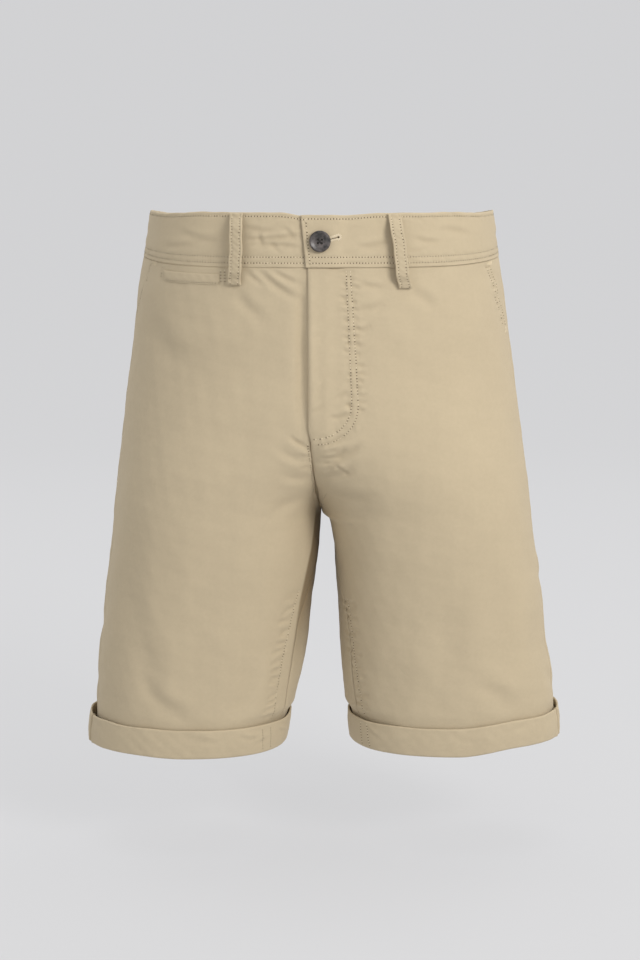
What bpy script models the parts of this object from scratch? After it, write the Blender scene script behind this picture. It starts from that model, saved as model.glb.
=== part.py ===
"""Bermuda shorts: hollow cotton-twill shorts with turned-up cuffs, filled out as worn.

Metres, +Z up. The front faces -Y and the wearer's left is +X. The origin is the
centre of the waist opening, level with the top of the waistband at its sides.
Every cloth piece is a thin wall, lofted through level sections of the garment.
"""
import math

import bmesh
import bpy

# ---------------------------------------------------------------- driving sizes
CLOTH = 0.0013          # wall of the leg panels
BAND = 0.0022           # folded waistband, over its own seam allowance
GAP = 0.0003            # between pieces that are sewn together
SEAM = GAP / 2.0
RISE = 0.2685           # waist top to crotch, straight down
BAND_SIDE = 0.0395      # height of the band at the side seams
HEM = 0.4840            # waist top to the fold of the cuff
CUFF_TOP = 0.4575       # waist top to the upper edge of the cuff
DIP_TOP = 0.0045        # how far the band's top sinks at the centre front
DIP_LOW = 0.0080        # how far its lower edge sinks there
DIP_BACK = 0.0058       # how far the band's top sinks at the centre back
FLY_END = 0.1970        # foot of the fly, below the waist top
ROUND = 2.25            # squareness of a level section; 2 is an ellipse
CROTCH_SOFT = 0.055     # share of the rise over which the fronts and backs ease into the legs
HEM_RAISE = {-1: 0.0000, 1: 0.0018}  # each hem is this much higher than the other's fold
HEM_RISE = {-1: 0.0020, 1: 0.0062}  # and rises this far again towards its side seam

# One row for each level section of the garment, from the waist down.
# out/in: the side and inner faces of each leg, measured from the centre plane.
# front/back: how far the cloth stands in front of and behind the centre plane.
SECTIONS = [
    # down,  out_right, out_left, in_right, in_left, front,  back
    (0.0000, 0.1510, 0.1525, 0.0000, 0.0000, 0.1120, 0.1120),
    (0.0397, 0.1575, 0.1580, 0.0000, 0.0000, 0.1155, 0.1180),
    (0.0697, 0.1635, 0.1630, 0.0000, 0.0000, 0.1170, 0.1230),
    (0.1100, 0.1675, 0.1687, 0.0000, 0.0000, 0.1175, 0.1270),
    (0.1605, 0.1744, 0.1754, 0.0000, 0.0000, 0.1165, 0.1280),
    (0.2157, 0.1811, 0.1834, 0.0000, 0.0000, 0.1130, 0.1225),
    (0.2685, 0.1872, 0.1905, 0.0000, 0.0000, 0.1060, 0.1120),
    (0.2725, 0.1876, 0.1910, 0.0001, 0.0059, 0.1054, 0.1110),
    (0.2840, 0.1889, 0.1925, 0.0003, 0.0094, 0.1036, 0.1080),
    (0.2995, 0.1907, 0.1947, 0.0011, 0.0120, 0.1010, 0.1040),
    (0.3266, 0.1943, 0.1992, 0.0045, 0.0141, 0.0960, 0.0970),
    (0.3550, 0.1980, 0.2029, 0.0082, 0.0157, 0.0910, 0.0890),
    (0.3835, 0.2014, 0.2056, 0.0117, 0.0171, 0.0865, 0.0820),
    (0.4120, 0.2049, 0.2107, 0.0157, 0.0184, 0.0825, 0.0760),
    (0.4410, 0.2064, 0.2143, 0.0228, 0.0218, 0.0785, 0.0705),
    (0.4840, 0.2084, 0.2162, 0.0325, 0.0279, 0.0735, 0.0640),
]
# Levels of the rows of cloth: above the foot of the fly, down to the crotch, and below it.
UPPER_LEVELS = (0.0395, 0.060, 0.088, 0.118, 0.145, 0.168, 0.187, 0.199, 0.211)
RISE_LEVELS = (0.226, 0.240, 0.2515, 0.2595, 0.2648, 0.2675, 0.2685)
LEG_LEVELS = (0.2725, 0.2808, 0.2945, 0.3130, 0.3385, 0.3680, 0.3990, 0.4300, 0.4610)

# ---------------------------------------------------------------- sizes of the other pieces
BAND_PROUD = 0.0006     # the band stands this far outside the leg panels
BAND_LAP = 0.0100       # how far each band end runs past the centre seam
# One row for each line of the band, top to bottom: level, and how far its edge is rounded.
BAND_ROWS = [
    (0.0000, 0.0007),
    (0.0010, 0.0000),
    (0.0140, 0.0000),
    (0.0270, 0.0000),
    (0.0385, 0.0000),
    (0.0395, 0.0006),
]
CUFF_CLOTH = 0.0021     # two layers of the leg cloth
CUFF_STATIONS = 40      # sections round each cuff
CUFF_AWAY = {-1: 0.0036, 1: 0.0014}  # how far each cuff falls away from its leg at the side seam
LOOP_WIDTH = 0.0115
LOOP_CLOTH = 0.0016
LOOP_BOW = 0.0060       # how far a belt loop bows off the band
LOOP_TOP = 0.0012       # its upper end, below the waist top
# One row for each belt loop: its place from the centre plane at its top and foot, and its foot's level.
LOOPS = [
    # name,             side, x_top,  x_foot, foot,   behind
    ("loop_front_right", -1, 0.0705, 0.0730, 0.0560, False),
    ("loop_front_left", 1, 0.0615, 0.0700, 0.0595, False),
    ("loop_back_right", -1, 0.0980, 0.0990, 0.0560, True),
    ("loop_back_left", 1, 0.0980, 0.0990, 0.0560, True),
    ("loop_centre_back", 1, 0.0000, 0.0000, 0.0560, True),
]
WELT_CLOTH = 0.0009
WELT_INNER = 0.0855     # the coin welt's nearer end, from the centre plane
WELT_OUTER = 0.1352     # and its farther end
WELT_HEIGHT = 0.0095
WELT_DOWN = 0.0457      # its folded upper edge
BUTTON_RADIUS = 0.0090
BUTTON_X = -0.0010
BUTTON_DOWN = 0.0258
BUTTON_LEAN = -2.0      # degrees
HOLE_RADIUS = 0.0010
HOLE_REACH = 0.0021     # each hole from the button's centre
HOLE_TURN = 2.0         # degrees, the holes round the face
# One row for each turn of the button's face: radius share, thickness in metres.
BUTTON_TURNS = [
    (1.00, 0.0010),
    (0.99, 0.0022),
    (0.93, 0.0030),
    (0.84, 0.0031),
    (0.72, 0.0026),
    (0.60, 0.0021),
    (0.48, 0.0019),
]


def scrub():
    """Start from an empty file."""
    for ob in list(bpy.data.objects):
        bpy.data.objects.remove(ob, do_unlink=True)


def smooth(a, b, x):
    """Ease from 0 at a to 1 at b."""
    t = (x - a) / (b - a)
    t = max(0.0, min(1.0, t))
    return t * t * (3.0 - 2.0 * t)


def sizes(down):
    """The section's sizes at a level, by a smooth curve through the rows."""
    rows = SECTIONS
    if down <= rows[0][0]:
        return rows[0][1:]
    if down >= rows[-1][0]:
        return rows[-1][1:]
    k = 0
    while rows[k + 1][0] < down:
        k += 1
    h = rows[k + 1][0] - rows[k][0]
    t = (down - rows[k][0]) / h
    found = []
    for c in range(1, 7):
        p0 = rows[k][c]
        p1 = rows[k + 1][c]
        m0 = (p1 - p0) / h
        m1 = m0
        if k > 0:
            before = (p0 - rows[k - 1][c]) / (rows[k][0] - rows[k - 1][0])
            m0 = 0.0 if before * m0 <= 0 else 2.0 * before * m0 / (before + m0)
        if k + 2 < len(rows):
            after = (rows[k + 2][c] - p1) / (rows[k + 2][0] - rows[k + 1][0])
            m1 = 0.0 if after * m1 <= 0 else 2.0 * after * m1 / (after + m1)
        a = (2 * t ** 3 - 3 * t ** 2 + 1) * p0
        b = (t ** 3 - 2 * t ** 2 + t) * h * m0
        c1 = (-2 * t ** 3 + 3 * t ** 2) * p1
        d = (t ** 3 - t ** 2) * h * m1
        found.append(a + b + c1 + d)
    return tuple(found)


def lobe(side, down):
    """Peak line, inner and outer half widths, depths and inner hollow of one leg.

    Above the crotch the two legs' sections run into each other at the centre plane.
    """
    out_r, out_l, in_r, in_l, front, back = sizes(down)
    outer = out_l if side > 0 else out_r
    inner = in_l if side > 0 else in_r
    if down < RISE:
        t = max(down, 0.0) / RISE
        peak = outer / 2.0 * smooth(0.45, 1.0, t)
        t = 1.0 - (math.hypot(1.0 - t, CROTCH_SOFT) - CROTCH_SOFT) / (math.hypot(1.0, CROTCH_SOFT) - CROTCH_SOFT)
        inside = peak + (outer - peak) * (1.0 - t ** 4) * (1.0 - 0.45 * t ** 8)
        return peak, inside, outer - peak, front, back, 0.0
    spread = SECTIONS[-1][4 if side > 0 else 3] * (down - RISE) / (HEM - RISE)
    half = (outer - spread) / 2.0
    return spread + half, half, half, front, back, inner - spread


def centre_shift(down):
    """The front centre seam leans to the wearer's right at the foot of the fly."""
    return -0.0085 + 0.0065 * smooth(FLY_END, RISE, down)


def bend(x, y, down):
    """Carry the front centre seam over without moving the sides or the back."""
    reach = math.exp(-(x / 0.045) ** 2)
    ahead = smooth(0.0, 0.05, -y)
    below = 1.0 - smooth(RISE, RISE + 0.05, down)
    return x + centre_shift(down) * reach * ahead * below


def power(v):
    """A signed power that squares up an ellipse."""
    return math.copysign(abs(v) ** (2.0 / ROUND), v)


def on_lobe(side, down, angle):
    """A point at an angle round one leg: 0 inside, 90 in front, 180 at the side."""
    peak, inside, outside, front, back, hollow = lobe(side, down)
    a = math.radians(angle)
    y = -power(math.sin(a)) * (front if math.sin(a) >= 0 else back)
    half = inside if math.cos(a) > 0 else outside
    x = peak - half * power(math.cos(a)) + hollow * max(0.0, math.cos(a)) ** 4
    return side * x, y


def cut_angle(side, down):
    """The angle at which a leg's section meets the centre plane."""
    peak, inside = lobe(side, down)[:2]
    if down >= RISE:
        return 0.0
    return math.degrees(math.acos(min(1.0, (peak / inside) ** (ROUND / 2.0))))


def outseam(down):
    """Angle of the side seam, a little in front of the side."""
    return 172.0 - 5.0 * smooth(0.05, HEM, down)


def inseam(down):
    """Angle of the inside leg seam, which comes forward towards the hem."""
    return 27.0 * smooth(RISE, 0.378, down) - 4.0 * smooth(0.410, HEM, down)


def trail(side, down, start, end):
    """A close run of points round a section, from one angle to another."""
    steps = 90
    pts = []
    for i in range(steps + 1):
        angle = start + (end - start) * i / steps
        pts.append(on_lobe(side, down, angle))
    return pts


def lengths(pts):
    """Running length along a run of points."""
    run = [0.0]
    for a, b in zip(pts, pts[1:]):
        run.append(run[-1] + math.hypot(b[0] - a[0], b[1] - a[1]))
    return run


def resample(pts, trim_start, trim_end, columns, ease=0.0):
    """Evenly spaced points along a run, with a little trimmed off each end."""
    run = lengths(pts)
    total = run[-1] - trim_start - trim_end
    found = []
    k = 0
    for i in range(columns + 1):
        f = i / columns
        f = f + ease * f * (f - 1.0)
        want = trim_start + total * f
        while k + 2 < len(run) and run[k + 1] < want:
            k += 1
        long = max(run[k + 1] - run[k], 1e-12)
        t = (want - run[k]) / long
        dx = pts[k + 1][0] - pts[k][0]
        dy = pts[k + 1][1] - pts[k][1]
        found.append((pts[k][0] + dx * t, pts[k][1] + dy * t, dx / long, dy / long))
    return found


def dip(x, y, down):
    """How far the cloth sinks below its level, less how far the hem rises there."""
    ahead = smooth(0.0, 0.112, -y)
    behind = smooth(0.0, 0.112, y)
    if down <= BAND_SIDE:
        deep = DIP_TOP + (DIP_LOW - DIP_TOP) * down / BAND_SIDE
    else:
        deep = DIP_LOW * (1.0 - smooth(BAND_SIDE, 0.13, down))
    sunk = deep * ahead + DIP_BACK * behind * (1.0 - smooth(0.0, 0.13, down))
    side = 1 if x > 0 else -1
    peak, _, outside = lobe(side, down)[:3]
    raised = HEM_RAISE[side] + HEM_RISE[side] * smooth(0.0, 0.6, (abs(x) - peak) / outside)
    return sunk - raised * smooth(0.370, HEM, down)


def front_run(side, down):
    """The front of one section, from its centre edge round to the side seam."""
    cut = cut_angle(side, down)
    own = trail(side, down, cut, outseam(down))
    if down >= RISE:
        own = trail(side, down, inseam(down), outseam(down))
        return own, SEAM
    lap = lap_width(side, down)
    if lap <= 0.0:
        return own, 0.0
    other = trail(-side, down, cut_angle(-side, down), 100.0)
    extra = [p for p in other if 1e-6 < -side * p[0] < lap]
    edge_y = extra[-1][1] if extra else own[0][1]
    return [(-side * lap, edge_y)] + list(reversed(extra)) + own, 0.0


def lap_width(side, down):
    """How far a front runs past the centre seam in the fly: the left one on top."""
    if side > 0:
        return 0.0030 * (1.0 - smooth(FLY_END - 0.016, FLY_END + 0.002, down))
    return 0.0070 * (1.0 - smooth(FLY_END - 0.052, FLY_END - 0.030, down))


def lap_lift(x, down):
    """How far the left front is raised where it lies over the right one."""
    across = 1.0 - smooth(0.011, 0.022, x)
    return (CLOTH + GAP + 0.0003) * across * (1.0 - smooth(FLY_END - 0.002, FLY_END + 0.012, down))


def back_run(side, down):
    """The back of one section, from the side seam round to its centre edge."""
    if down >= RISE:
        return trail(side, down, outseam(down), 360.0 + inseam(down)), SEAM
    return trail(side, down, outseam(down), 360.0 - cut_angle(side, down)), 0.0


def push(pts, side, amounts):
    """Move points out of the cloth, each by its own amount."""
    found = []
    for (x, y, tx, ty), d in zip(pts, amounts):
        found.append((x + side * ty * d, y - side * tx * d))
    return found


def set_down(pts, moved, down):
    """Place moved points at a level, with the lean and dip of the cloth they left."""
    found = []
    for (x, y, _, _), (mx, my) in zip(pts, moved):
        found.append((mx + bend(x, y, down) - x, my, -down - dip(x, y, down)))
    return found


def wall_ring(pts, side, down, outer, inner):
    """One closed ring of a wall: along its outer face and back along its inner."""
    face = set_down(pts, push(pts, side, outer), down)
    lining = set_down(pts, push(pts, side, inner), down)
    return face + lining[::-1]


def material(slot, colour, rough):
    """A plain material for a slot."""
    mat = bpy.data.materials.new(slot)
    mat.use_nodes = True
    bsdf = mat.node_tree.nodes["Principled BSDF"]
    bsdf.inputs["Base Color"].default_value = (*colour, 1.0)
    bsdf.inputs["Roughness"].default_value = rough
    return mat


def finish(bm, name, mat):
    """Turn a closed mesh into a named object."""
    bmesh.ops.remove_doubles(bm, verts=bm.verts, dist=1e-6)
    bmesh.ops.recalc_face_normals(bm, faces=bm.faces)
    mesh = bpy.data.meshes.new(name)
    bm.to_mesh(mesh)
    bm.free()
    if mesh.materials.find(mat.name) < 0:
        mesh.materials.append(mat)
    ob = bpy.data.objects.new(name, mesh)
    bpy.context.scene.collection.objects.link(ob)
    return ob


def loft(rings, hoop=False, braced=False):
    """Bridge closed rings of equal length, and cap both ends unless it is a hoop."""
    bm = bmesh.new()
    verts = [[bm.verts.new(p) for p in ring] for ring in rings]
    loops = []
    for ring in verts:
        loops.append([bm.edges.new(pair) for pair in zip(ring, ring[1:] + ring[:1])])
    for a, b in zip(loops, loops[1:]):
        bmesh.ops.bridge_loops(bm, edges=a + b)
    if hoop:
        bmesh.ops.bridge_loops(bm, edges=loops[-1] + loops[0])
        return bm
    if braced:
        for upper, lower in zip(verts, verts[1:]):
            brace(bm, upper, lower)
    for ring in (verts[0], verts[-1]):
        last = len(ring) - 1
        for i in range(len(ring) // 2 - 1):
            bm.faces.new((ring[i], ring[i + 1], ring[last - 1 - i], ring[last - i]))
    return bm


def brace(bm, upper, lower):
    """Split the faces between two rings so a wall's two sides fold along the same lines."""
    last = len(upper) - 1
    for i in range(len(upper) // 2 - 1):
        falling = (upper[i].co - lower[i + 1].co).length
        rising = (upper[i + 1].co - lower[i].co).length
        for a, b in ((i, i + 1), (last - i, last - 1 - i)):
            pair = [upper[a], lower[b]] if falling < rising else [upper[b], lower[a]]
            bmesh.ops.connect_verts(bm, verts=pair)


def panel_levels():
    """Every row of a leg panel, band to hem."""
    return UPPER_LEVELS + RISE_LEVELS + LEG_LEVELS + (HEM - 0.0018 - GAP,)


def panel(name, side, run_of, columns, mat):
    """One leg panel: a thin wall through all its level rows."""
    rings = []
    is_front = run_of is front_run
    for n, down in enumerate(panel_levels()):
        pts, trim = run_of(side, down)
        first = trim if is_front else SEAM
        last = SEAM if is_front else trim
        pts = resample(pts, first, last, columns, 0.18 if is_front else 0.0)
        pts = [(p[0] + side * SEAM, p[1], p[2], p[3]) for p in pts]
        lift = [lap_lift(p[0], down) if side > 0 and is_front else 0.0 for p in pts]
        if n == 0:
            down = down + GAP
        rings.append(wall_ring(pts, side, down, lift, [v - CLOTH for v in lift]))
    return finish(loft(rings, braced=True), name, mat)


# ---------------------------------------------------------------- waistband


def band_lift(x):
    """The left band end lies over the right one."""
    return (BAND + GAP + 0.0004) * (1.0 - smooth(0.016, 0.030, x))


def waistband(name, side, mat):
    """Half the waistband, from its front end round to the centre back."""
    rings = []
    for down, worn in BAND_ROWS:
        own = trail(side, down, 90.0, 270.0)
        other = [p for p in trail(-side, down, 90.0, 110.0) if 1e-6 < -side * p[0] < BAND_LAP]
        end = [(-side * BAND_LAP, other[-1][1])]
        pts = resample(end + other[::-1] + own, 0.0, 0.0, 25)
        pts = [(p[0] + side * SEAM, p[1], p[2], p[3]) for p in pts]
        lift = [band_lift(p[0]) if side > 0 and p[1] < 0 else 0.0 for p in pts]
        outer = [v + BAND_PROUD - worn for v in lift]
        inner = [v + BAND_PROUD - BAND + worn for v in lift]
        rings.append(wall_ring(pts, side, down, outer, inner))
    return finish(loft(rings, braced=True), name, mat)


# ---------------------------------------------------------------- turned-up cuffs


def station(side, down, angle):
    """A point on a leg's section and the way out of the cloth there."""
    x, y = on_lobe(side, down, angle)
    ax, ay = on_lobe(side, down, angle - 0.5)
    bx, by = on_lobe(side, down, angle + 0.5)
    size = math.hypot(bx - ax, by - ay)
    return x, y, side * (by - ay) / size, -side * (bx - ax) / size


def stand_off(side, angle):
    """How far the cuff's upper and lower edges stand off the leg."""
    away = (angle - 180.0 + 540.0) % 360.0 - 180.0
    near = math.exp(-(away / 30.0) ** 2)
    wide = CUFF_AWAY[side]
    return 0.0009 + wide * near, 0.0010 + (wide + 0.0012) * near


def cuff(name, side, mat):
    """The turned-up hem: a wall outside the leg and a fold under its edge."""
    close = trail(side, HEM, 0.0, 360.0)
    run = lengths(close)
    rings = []
    k = 0
    for n in range(CUFF_STATIONS):
        want = run[-1] * n / CUFF_STATIONS
        while run[k + 1] < want:
            k += 1
        angle = 4.0 * (k + (want - run[k]) / (run[k + 1] - run[k]))
        high, low = stand_off(side, angle)
        tx, ty, tnx, tny = station(side, CUFF_TOP, angle)
        bx, by, bnx, bny = station(side, HEM, angle)
        upper = [
            (GAP + high, -CUFF_TOP),
            (GAP + high + CUFF_CLOTH * 0.5, -CUFF_TOP + 0.0007),
            (GAP + high + CUFF_CLOTH, -CUFF_TOP - 0.0003),
        ]
        lower = [
            (GAP + low + CUFF_CLOTH, -HEM + 0.0018),
            (GAP + low + CUFF_CLOTH * 0.55, -HEM),
            (-CLOTH, -HEM),
            (-CLOTH - 0.0004, -HEM + 0.0015),
            (GAP + low, -HEM + 0.0015),
        ]
        top = -dip(tx, ty, CUFF_TOP)
        fold = -dip(bx, by, HEM)
        ring = [(tx + tnx * d, ty + tny * d, z + top) for d, z in upper]
        ring += [(bx + bnx * d, by + bny * d, z + fold) for d, z in lower]
        rings.append(ring)
    return finish(loft(rings, hoop=True), name, mat)


# ---------------------------------------------------------------- belt loops


def angle_at(half, x):
    """The angle on a section near the waist at which it is x from the centre plane."""
    return math.degrees(math.acos(max(-1.0, -(abs(x) / half) ** (ROUND / 2.0))))


def belt_loop(name, side, x_top, x_foot, foot, behind, mat):
    """A folded strip sewn down at both ends and bowed off the band between them."""
    rings = []
    steps = 10
    for n in range(steps + 1):
        f = n / steps
        down = LOOP_TOP + (foot - LOOP_TOP) * f
        half = lobe(side, down)[2]
        angle = angle_at(half, x_top + (x_foot - x_top) * f)
        if behind:
            angle = 360.0 - angle
        x, y, nx, ny = station(side, down, angle)
        ends = smooth(0.0, 0.22, f) * (1.0 - smooth(0.78, 1.0, f))
        rest = BAND_PROUD * (1.0 - smooth(0.66, 0.85, f)) + GAP + 0.0003
        near = rest + LOOP_BOW * ends
        z = -down - dip(x, y, down)
        wide = LOOP_WIDTH / 2.0
        ring = []
        for across, out in ((-wide, near), (wide, near), (wide, near + LOOP_CLOTH), (-wide, near + LOOP_CLOTH)):
            ring.append((x + nx * out - ny * across, y + ny * out + nx * across, z))
        rings.append(ring)
    return finish(loft(rings), name, mat)


# ---------------------------------------------------------------- coin pocket welt


def coin_welt(name, mat):
    """The narrow folded strip that closes the coin pocket on the right front."""
    side = -1
    rings = []
    steps = 9
    for n in range(steps + 1):
        f = n / steps
        reach = WELT_INNER + (WELT_OUTER - WELT_INNER) * f
        ring = []
        for drop, out in ((0.0, 0.0), (0.0, 1.0), (1.0, 1.0), (1.0, 0.0)):
            down = WELT_DOWN + WELT_HEIGHT * drop
            half = lobe(side, down)[2]
            x, y, nx, ny = station(side, down, angle_at(half, reach))
            d = GAP + 0.0003 + WELT_CLOTH * out
            ring.append((x + nx * d, y + ny * d, -down - dip(x, y, down)))
        rings.append(ring)
    return finish(loft(rings), name, mat)


# ---------------------------------------------------------------- button


def button(name, mat):
    """A turned button with a raised rim, a dished middle and four holes."""
    bm = bmesh.new()
    rows = [(0.0, 0.0), (0.86, 0.0)] + BUTTON_TURNS + [(0.0, 0.0019)]
    verts = [bm.verts.new((BUTTON_RADIUS * r, 0.0, -t)) for r, t in rows]
    edges = [bm.edges.new(pair) for pair in zip(verts, verts[1:])]
    bmesh.ops.spin(bm, geom=verts + edges, cent=(0, 0, 0), axis=(0, 0, 1), angle=math.tau, steps=40)
    bmesh.ops.remove_doubles(bm, verts=bm.verts, dist=1e-6)
    ob = finish(bm, name, mat)
    for k in range(4):
        a = math.radians(45.0 + 90.0 * k + HOLE_TURN)
        bm = bmesh.new()
        bmesh.ops.create_cone(
            bm, cap_ends=True, segments=16, radius1=HOLE_RADIUS, radius2=HOLE_RADIUS, depth=0.012
        )
        drill = finish(bm, "drill_%d" % k, mat)
        drill.location = (HOLE_REACH * math.cos(a), HOLE_REACH * math.sin(a), 0.0)
        drill.hide_render = True
        drill.display_type = "WIRE"
        drill.parent = ob
        cut = ob.modifiers.new("hole_%d" % k, "BOOLEAN")
        cut.operation = "DIFFERENCE"
        cut.solver = "EXACT"
        cut.object = drill
    front = sizes(BUTTON_DOWN)[4]
    face = -(front + BAND_PROUD + BAND + GAP + 0.0004) - 0.0006
    ob.rotation_euler = (math.radians(BUTTON_LEAN - 90.0), 0.0, 0.0)
    ob.location = (BUTTON_X, face, -BUTTON_DOWN)
    return ob


def main():
    scrub()
    cloth = material("cloth", (0.51, 0.43, 0.30), 0.9)
    horn = material("horn", (0.035, 0.033, 0.030), 0.35)
    panel("front_right", -1, front_run, 13, cloth)
    panel("front_left", 1, front_run, 13, cloth)
    panel("back_right", -1, back_run, 18, cloth)
    panel("back_left", 1, back_run, 18, cloth)
    waistband("waistband_right", -1, cloth)
    waistband("waistband_left", 1, cloth)
    cuff("cuff_right", -1, cloth)
    cuff("cuff_left", 1, cloth)
    for name, side, x_top, x_foot, foot, behind in LOOPS:
        belt_loop(name, side, x_top, x_foot, foot, behind, cloth)
    coin_welt("coin_welt", cloth)
    button("button", horn)


main()
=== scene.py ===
import math
import random

import bmesh
import bpy
import numpy as np
from mathutils import Matrix, Vector
from mathutils.bvhtree import BVHTree


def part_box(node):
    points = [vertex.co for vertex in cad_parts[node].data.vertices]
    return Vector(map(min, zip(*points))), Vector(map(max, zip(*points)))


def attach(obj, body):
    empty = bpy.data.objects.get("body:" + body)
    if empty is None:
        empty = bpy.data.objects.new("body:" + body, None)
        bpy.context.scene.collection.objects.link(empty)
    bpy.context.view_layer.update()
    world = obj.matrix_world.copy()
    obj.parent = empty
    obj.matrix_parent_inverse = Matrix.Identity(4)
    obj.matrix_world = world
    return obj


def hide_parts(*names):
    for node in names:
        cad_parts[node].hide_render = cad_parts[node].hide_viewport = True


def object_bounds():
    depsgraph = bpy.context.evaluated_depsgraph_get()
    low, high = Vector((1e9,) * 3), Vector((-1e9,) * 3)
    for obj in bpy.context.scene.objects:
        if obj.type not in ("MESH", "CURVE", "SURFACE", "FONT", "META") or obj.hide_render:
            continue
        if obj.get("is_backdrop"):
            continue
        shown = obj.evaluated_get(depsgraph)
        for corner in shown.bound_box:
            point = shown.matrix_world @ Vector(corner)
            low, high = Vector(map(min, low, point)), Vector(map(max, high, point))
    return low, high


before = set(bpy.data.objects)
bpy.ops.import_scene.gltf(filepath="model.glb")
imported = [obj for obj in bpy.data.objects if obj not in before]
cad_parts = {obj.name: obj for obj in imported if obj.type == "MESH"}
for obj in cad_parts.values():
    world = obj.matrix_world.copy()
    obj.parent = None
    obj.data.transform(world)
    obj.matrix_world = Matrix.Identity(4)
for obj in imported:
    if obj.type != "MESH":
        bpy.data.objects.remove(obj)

cad_low, cad_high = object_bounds()

# ================================================================ studio
# A pale grey sweep of card stands all round the shorts and runs into its own floor below them.
# Large diffused lamps hang in front, brighter on the wearer's left, with a soft one
# overhead and two behind, which light the back.
FLOOR_BELOW = 0.096     # the shorts hang this far above the floor
SWEEP_FLAT = 2.7
SWEEP_TURN = 1.4
CAMERA_AWAY = 1.667
CAMERA_TILT = 8.31      # degrees, down
FOCAL = 69.3

scene = bpy.context.scene
scene.view_settings.view_transform = "Standard"


def add_mesh(name, bm, mats):
    """Keep a bmesh as an object with its materials."""
    mesh = bpy.data.meshes.new(name)
    bm.to_mesh(mesh)
    bm.free()
    for mat in mats:
        mesh.materials.append(mat)
    mesh.shade_smooth()
    ob = bpy.data.objects.new(name, mesh)
    scene.collection.objects.link(ob)
    return ob


def material(name, **settings):
    """A material with its surface settings, by the short names in SETTINGS."""
    mat = bpy.data.materials.new(name)
    mat.use_nodes = True
    for key, value in settings.items():
        mat.node_tree.nodes["Principled BSDF"].inputs[SETTINGS[key]].default_value = value
    return mat


SETTINGS = {
    "base": "Base Color", "rough": "Roughness", "shine": "Specular IOR Level",
    "glow": "Emission Color", "glow_strength": "Emission Strength",
    "sheen": "Sheen Weight", "sheen_rough": "Sheen Roughness", "sheen_tint": "Sheen Tint",
}


def card():
    return material("pale_card", base=(0.15, 0.15, 0.152, 1.0), glow=(0.985, 0.985, 1.0, 1.0),
                    glow_strength=0.53, rough=0.95, shine=0.1)


def sweep():
    bm = bmesh.new()
    z = cad_low.z - FLOOR_BELOW
    profile = [(0.0, z), (SWEEP_FLAT, z)]
    for k in range(1, 13):
        a = math.radians(90.0 * k / 12)
        profile.append((SWEEP_FLAT + SWEEP_TURN * math.sin(a), z + SWEEP_TURN * (1.0 - math.cos(a))))
    profile.append((SWEEP_FLAT + SWEEP_TURN, z + 5.0))
    verts = [bm.verts.new((x, 0.0, h)) for x, h in profile]
    edges = [bm.edges.new(pair) for pair in zip(verts, verts[1:])]
    bmesh.ops.spin(bm, geom=verts + edges, cent=(0, 0, 0), axis=(0, 0, 1), angle=math.tau, steps=72,
                   use_merge=True)
    bmesh.ops.remove_doubles(bm, verts=bm.verts, dist=1e-5)
    for f in bm.faces:
        f.normal_update()
        centre = f.calc_center_median()
        inward = Vector((-centre.x, -centre.y, 1.5 - centre.z))
        if f.normal.dot(inward) < 0:
            f.normal_flip()
    return add_mesh("sweep", bm, [card()])


sweep()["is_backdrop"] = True

camera = bpy.data.objects.new("camera", bpy.data.cameras.new("camera"))
camera.data.lens = FOCAL
camera.data.sensor_width = 36.0
camera.location = (-0.0009, -CAMERA_AWAY, cad_high.z)
camera.rotation_euler = (math.radians(90.0 - CAMERA_TILT), 0.0, 0.0)
scene.collection.objects.link(camera)
scene.camera = camera


def lamp(name, place, size, energy, colour):
    data = bpy.data.lights.new(name, "AREA")
    data.shape = "RECTANGLE"
    data.size = size[0]
    data.size_y = size[1]
    data.energy = energy
    data.color = colour
    ob = bpy.data.objects.new(name, data)
    ob.location = place
    aim = Vector((0.0, 0.0, -0.22)) - Vector(place)
    ob.rotation_euler = aim.to_track_quat("-Z", "Y").to_euler()
    scene.collection.objects.link(ob)


lamp("key", (1.55, -1.9, 0.95), (1.0, 1.0), 49.0, (1.0, 0.985, 0.96))
lamp("fill", (-1.9, -1.9, 0.10), (1.8, 1.8), 9.0, (0.97, 0.985, 1.0))
lamp("overhead", (0.0, 0.1, 2.1), (2.2, 2.2), 18.0, (1.0, 1.0, 1.0))
lamp("behind_left", (1.6, 1.9, 1.3), (1.6, 1.6), 10.0, (1.0, 1.0, 1.0))
lamp("behind_right", (-1.6, 1.9, 1.3), (1.6, 1.6), 10.0, (1.0, 1.0, 1.0))

world = bpy.data.worlds.new("studio")
scene.world = world
world.use_nodes = True
world.node_tree.nodes["Background"].inputs["Color"].default_value = (0.95, 0.97, 1.0, 1.0)
world.node_tree.nodes["Background"].inputs["Strength"].default_value = 0.6

# ================================================================ legs: fronts and backs
# Two fronts and two backs of khaki cotton twill, garment washed and soft. Each is one layer of
# cloth, sewn to the next along the side, inside-leg and centre seams, and filled out by a body.
CLOTH = 0.0013          # wall of a panel, over its seam allowances
GAP = 0.0003
SEAM = GAP / 2.0
RISE = 0.2685           # waist top to crotch
BAND_SIDE = 0.0395      # height of the waistband
HEM = 0.4840
CUFF_TOP = 0.4575
DIP_TOP = 0.0045        # how far the band's top, and its lower edge, sink in front
DIP_LOW = 0.0080
DIP_BACK = 0.0058
FLY_END = 0.1970
ROUND = 2.25            # squareness of a level section
CROTCH_SOFT = 0.055     # share of the rise over which the fronts and backs ease into the legs
HEM_RAISE = {-1: 0.0000, 1: 0.0018}
HEM_RISE = {-1: 0.0020, 1: 0.0062}

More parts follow.
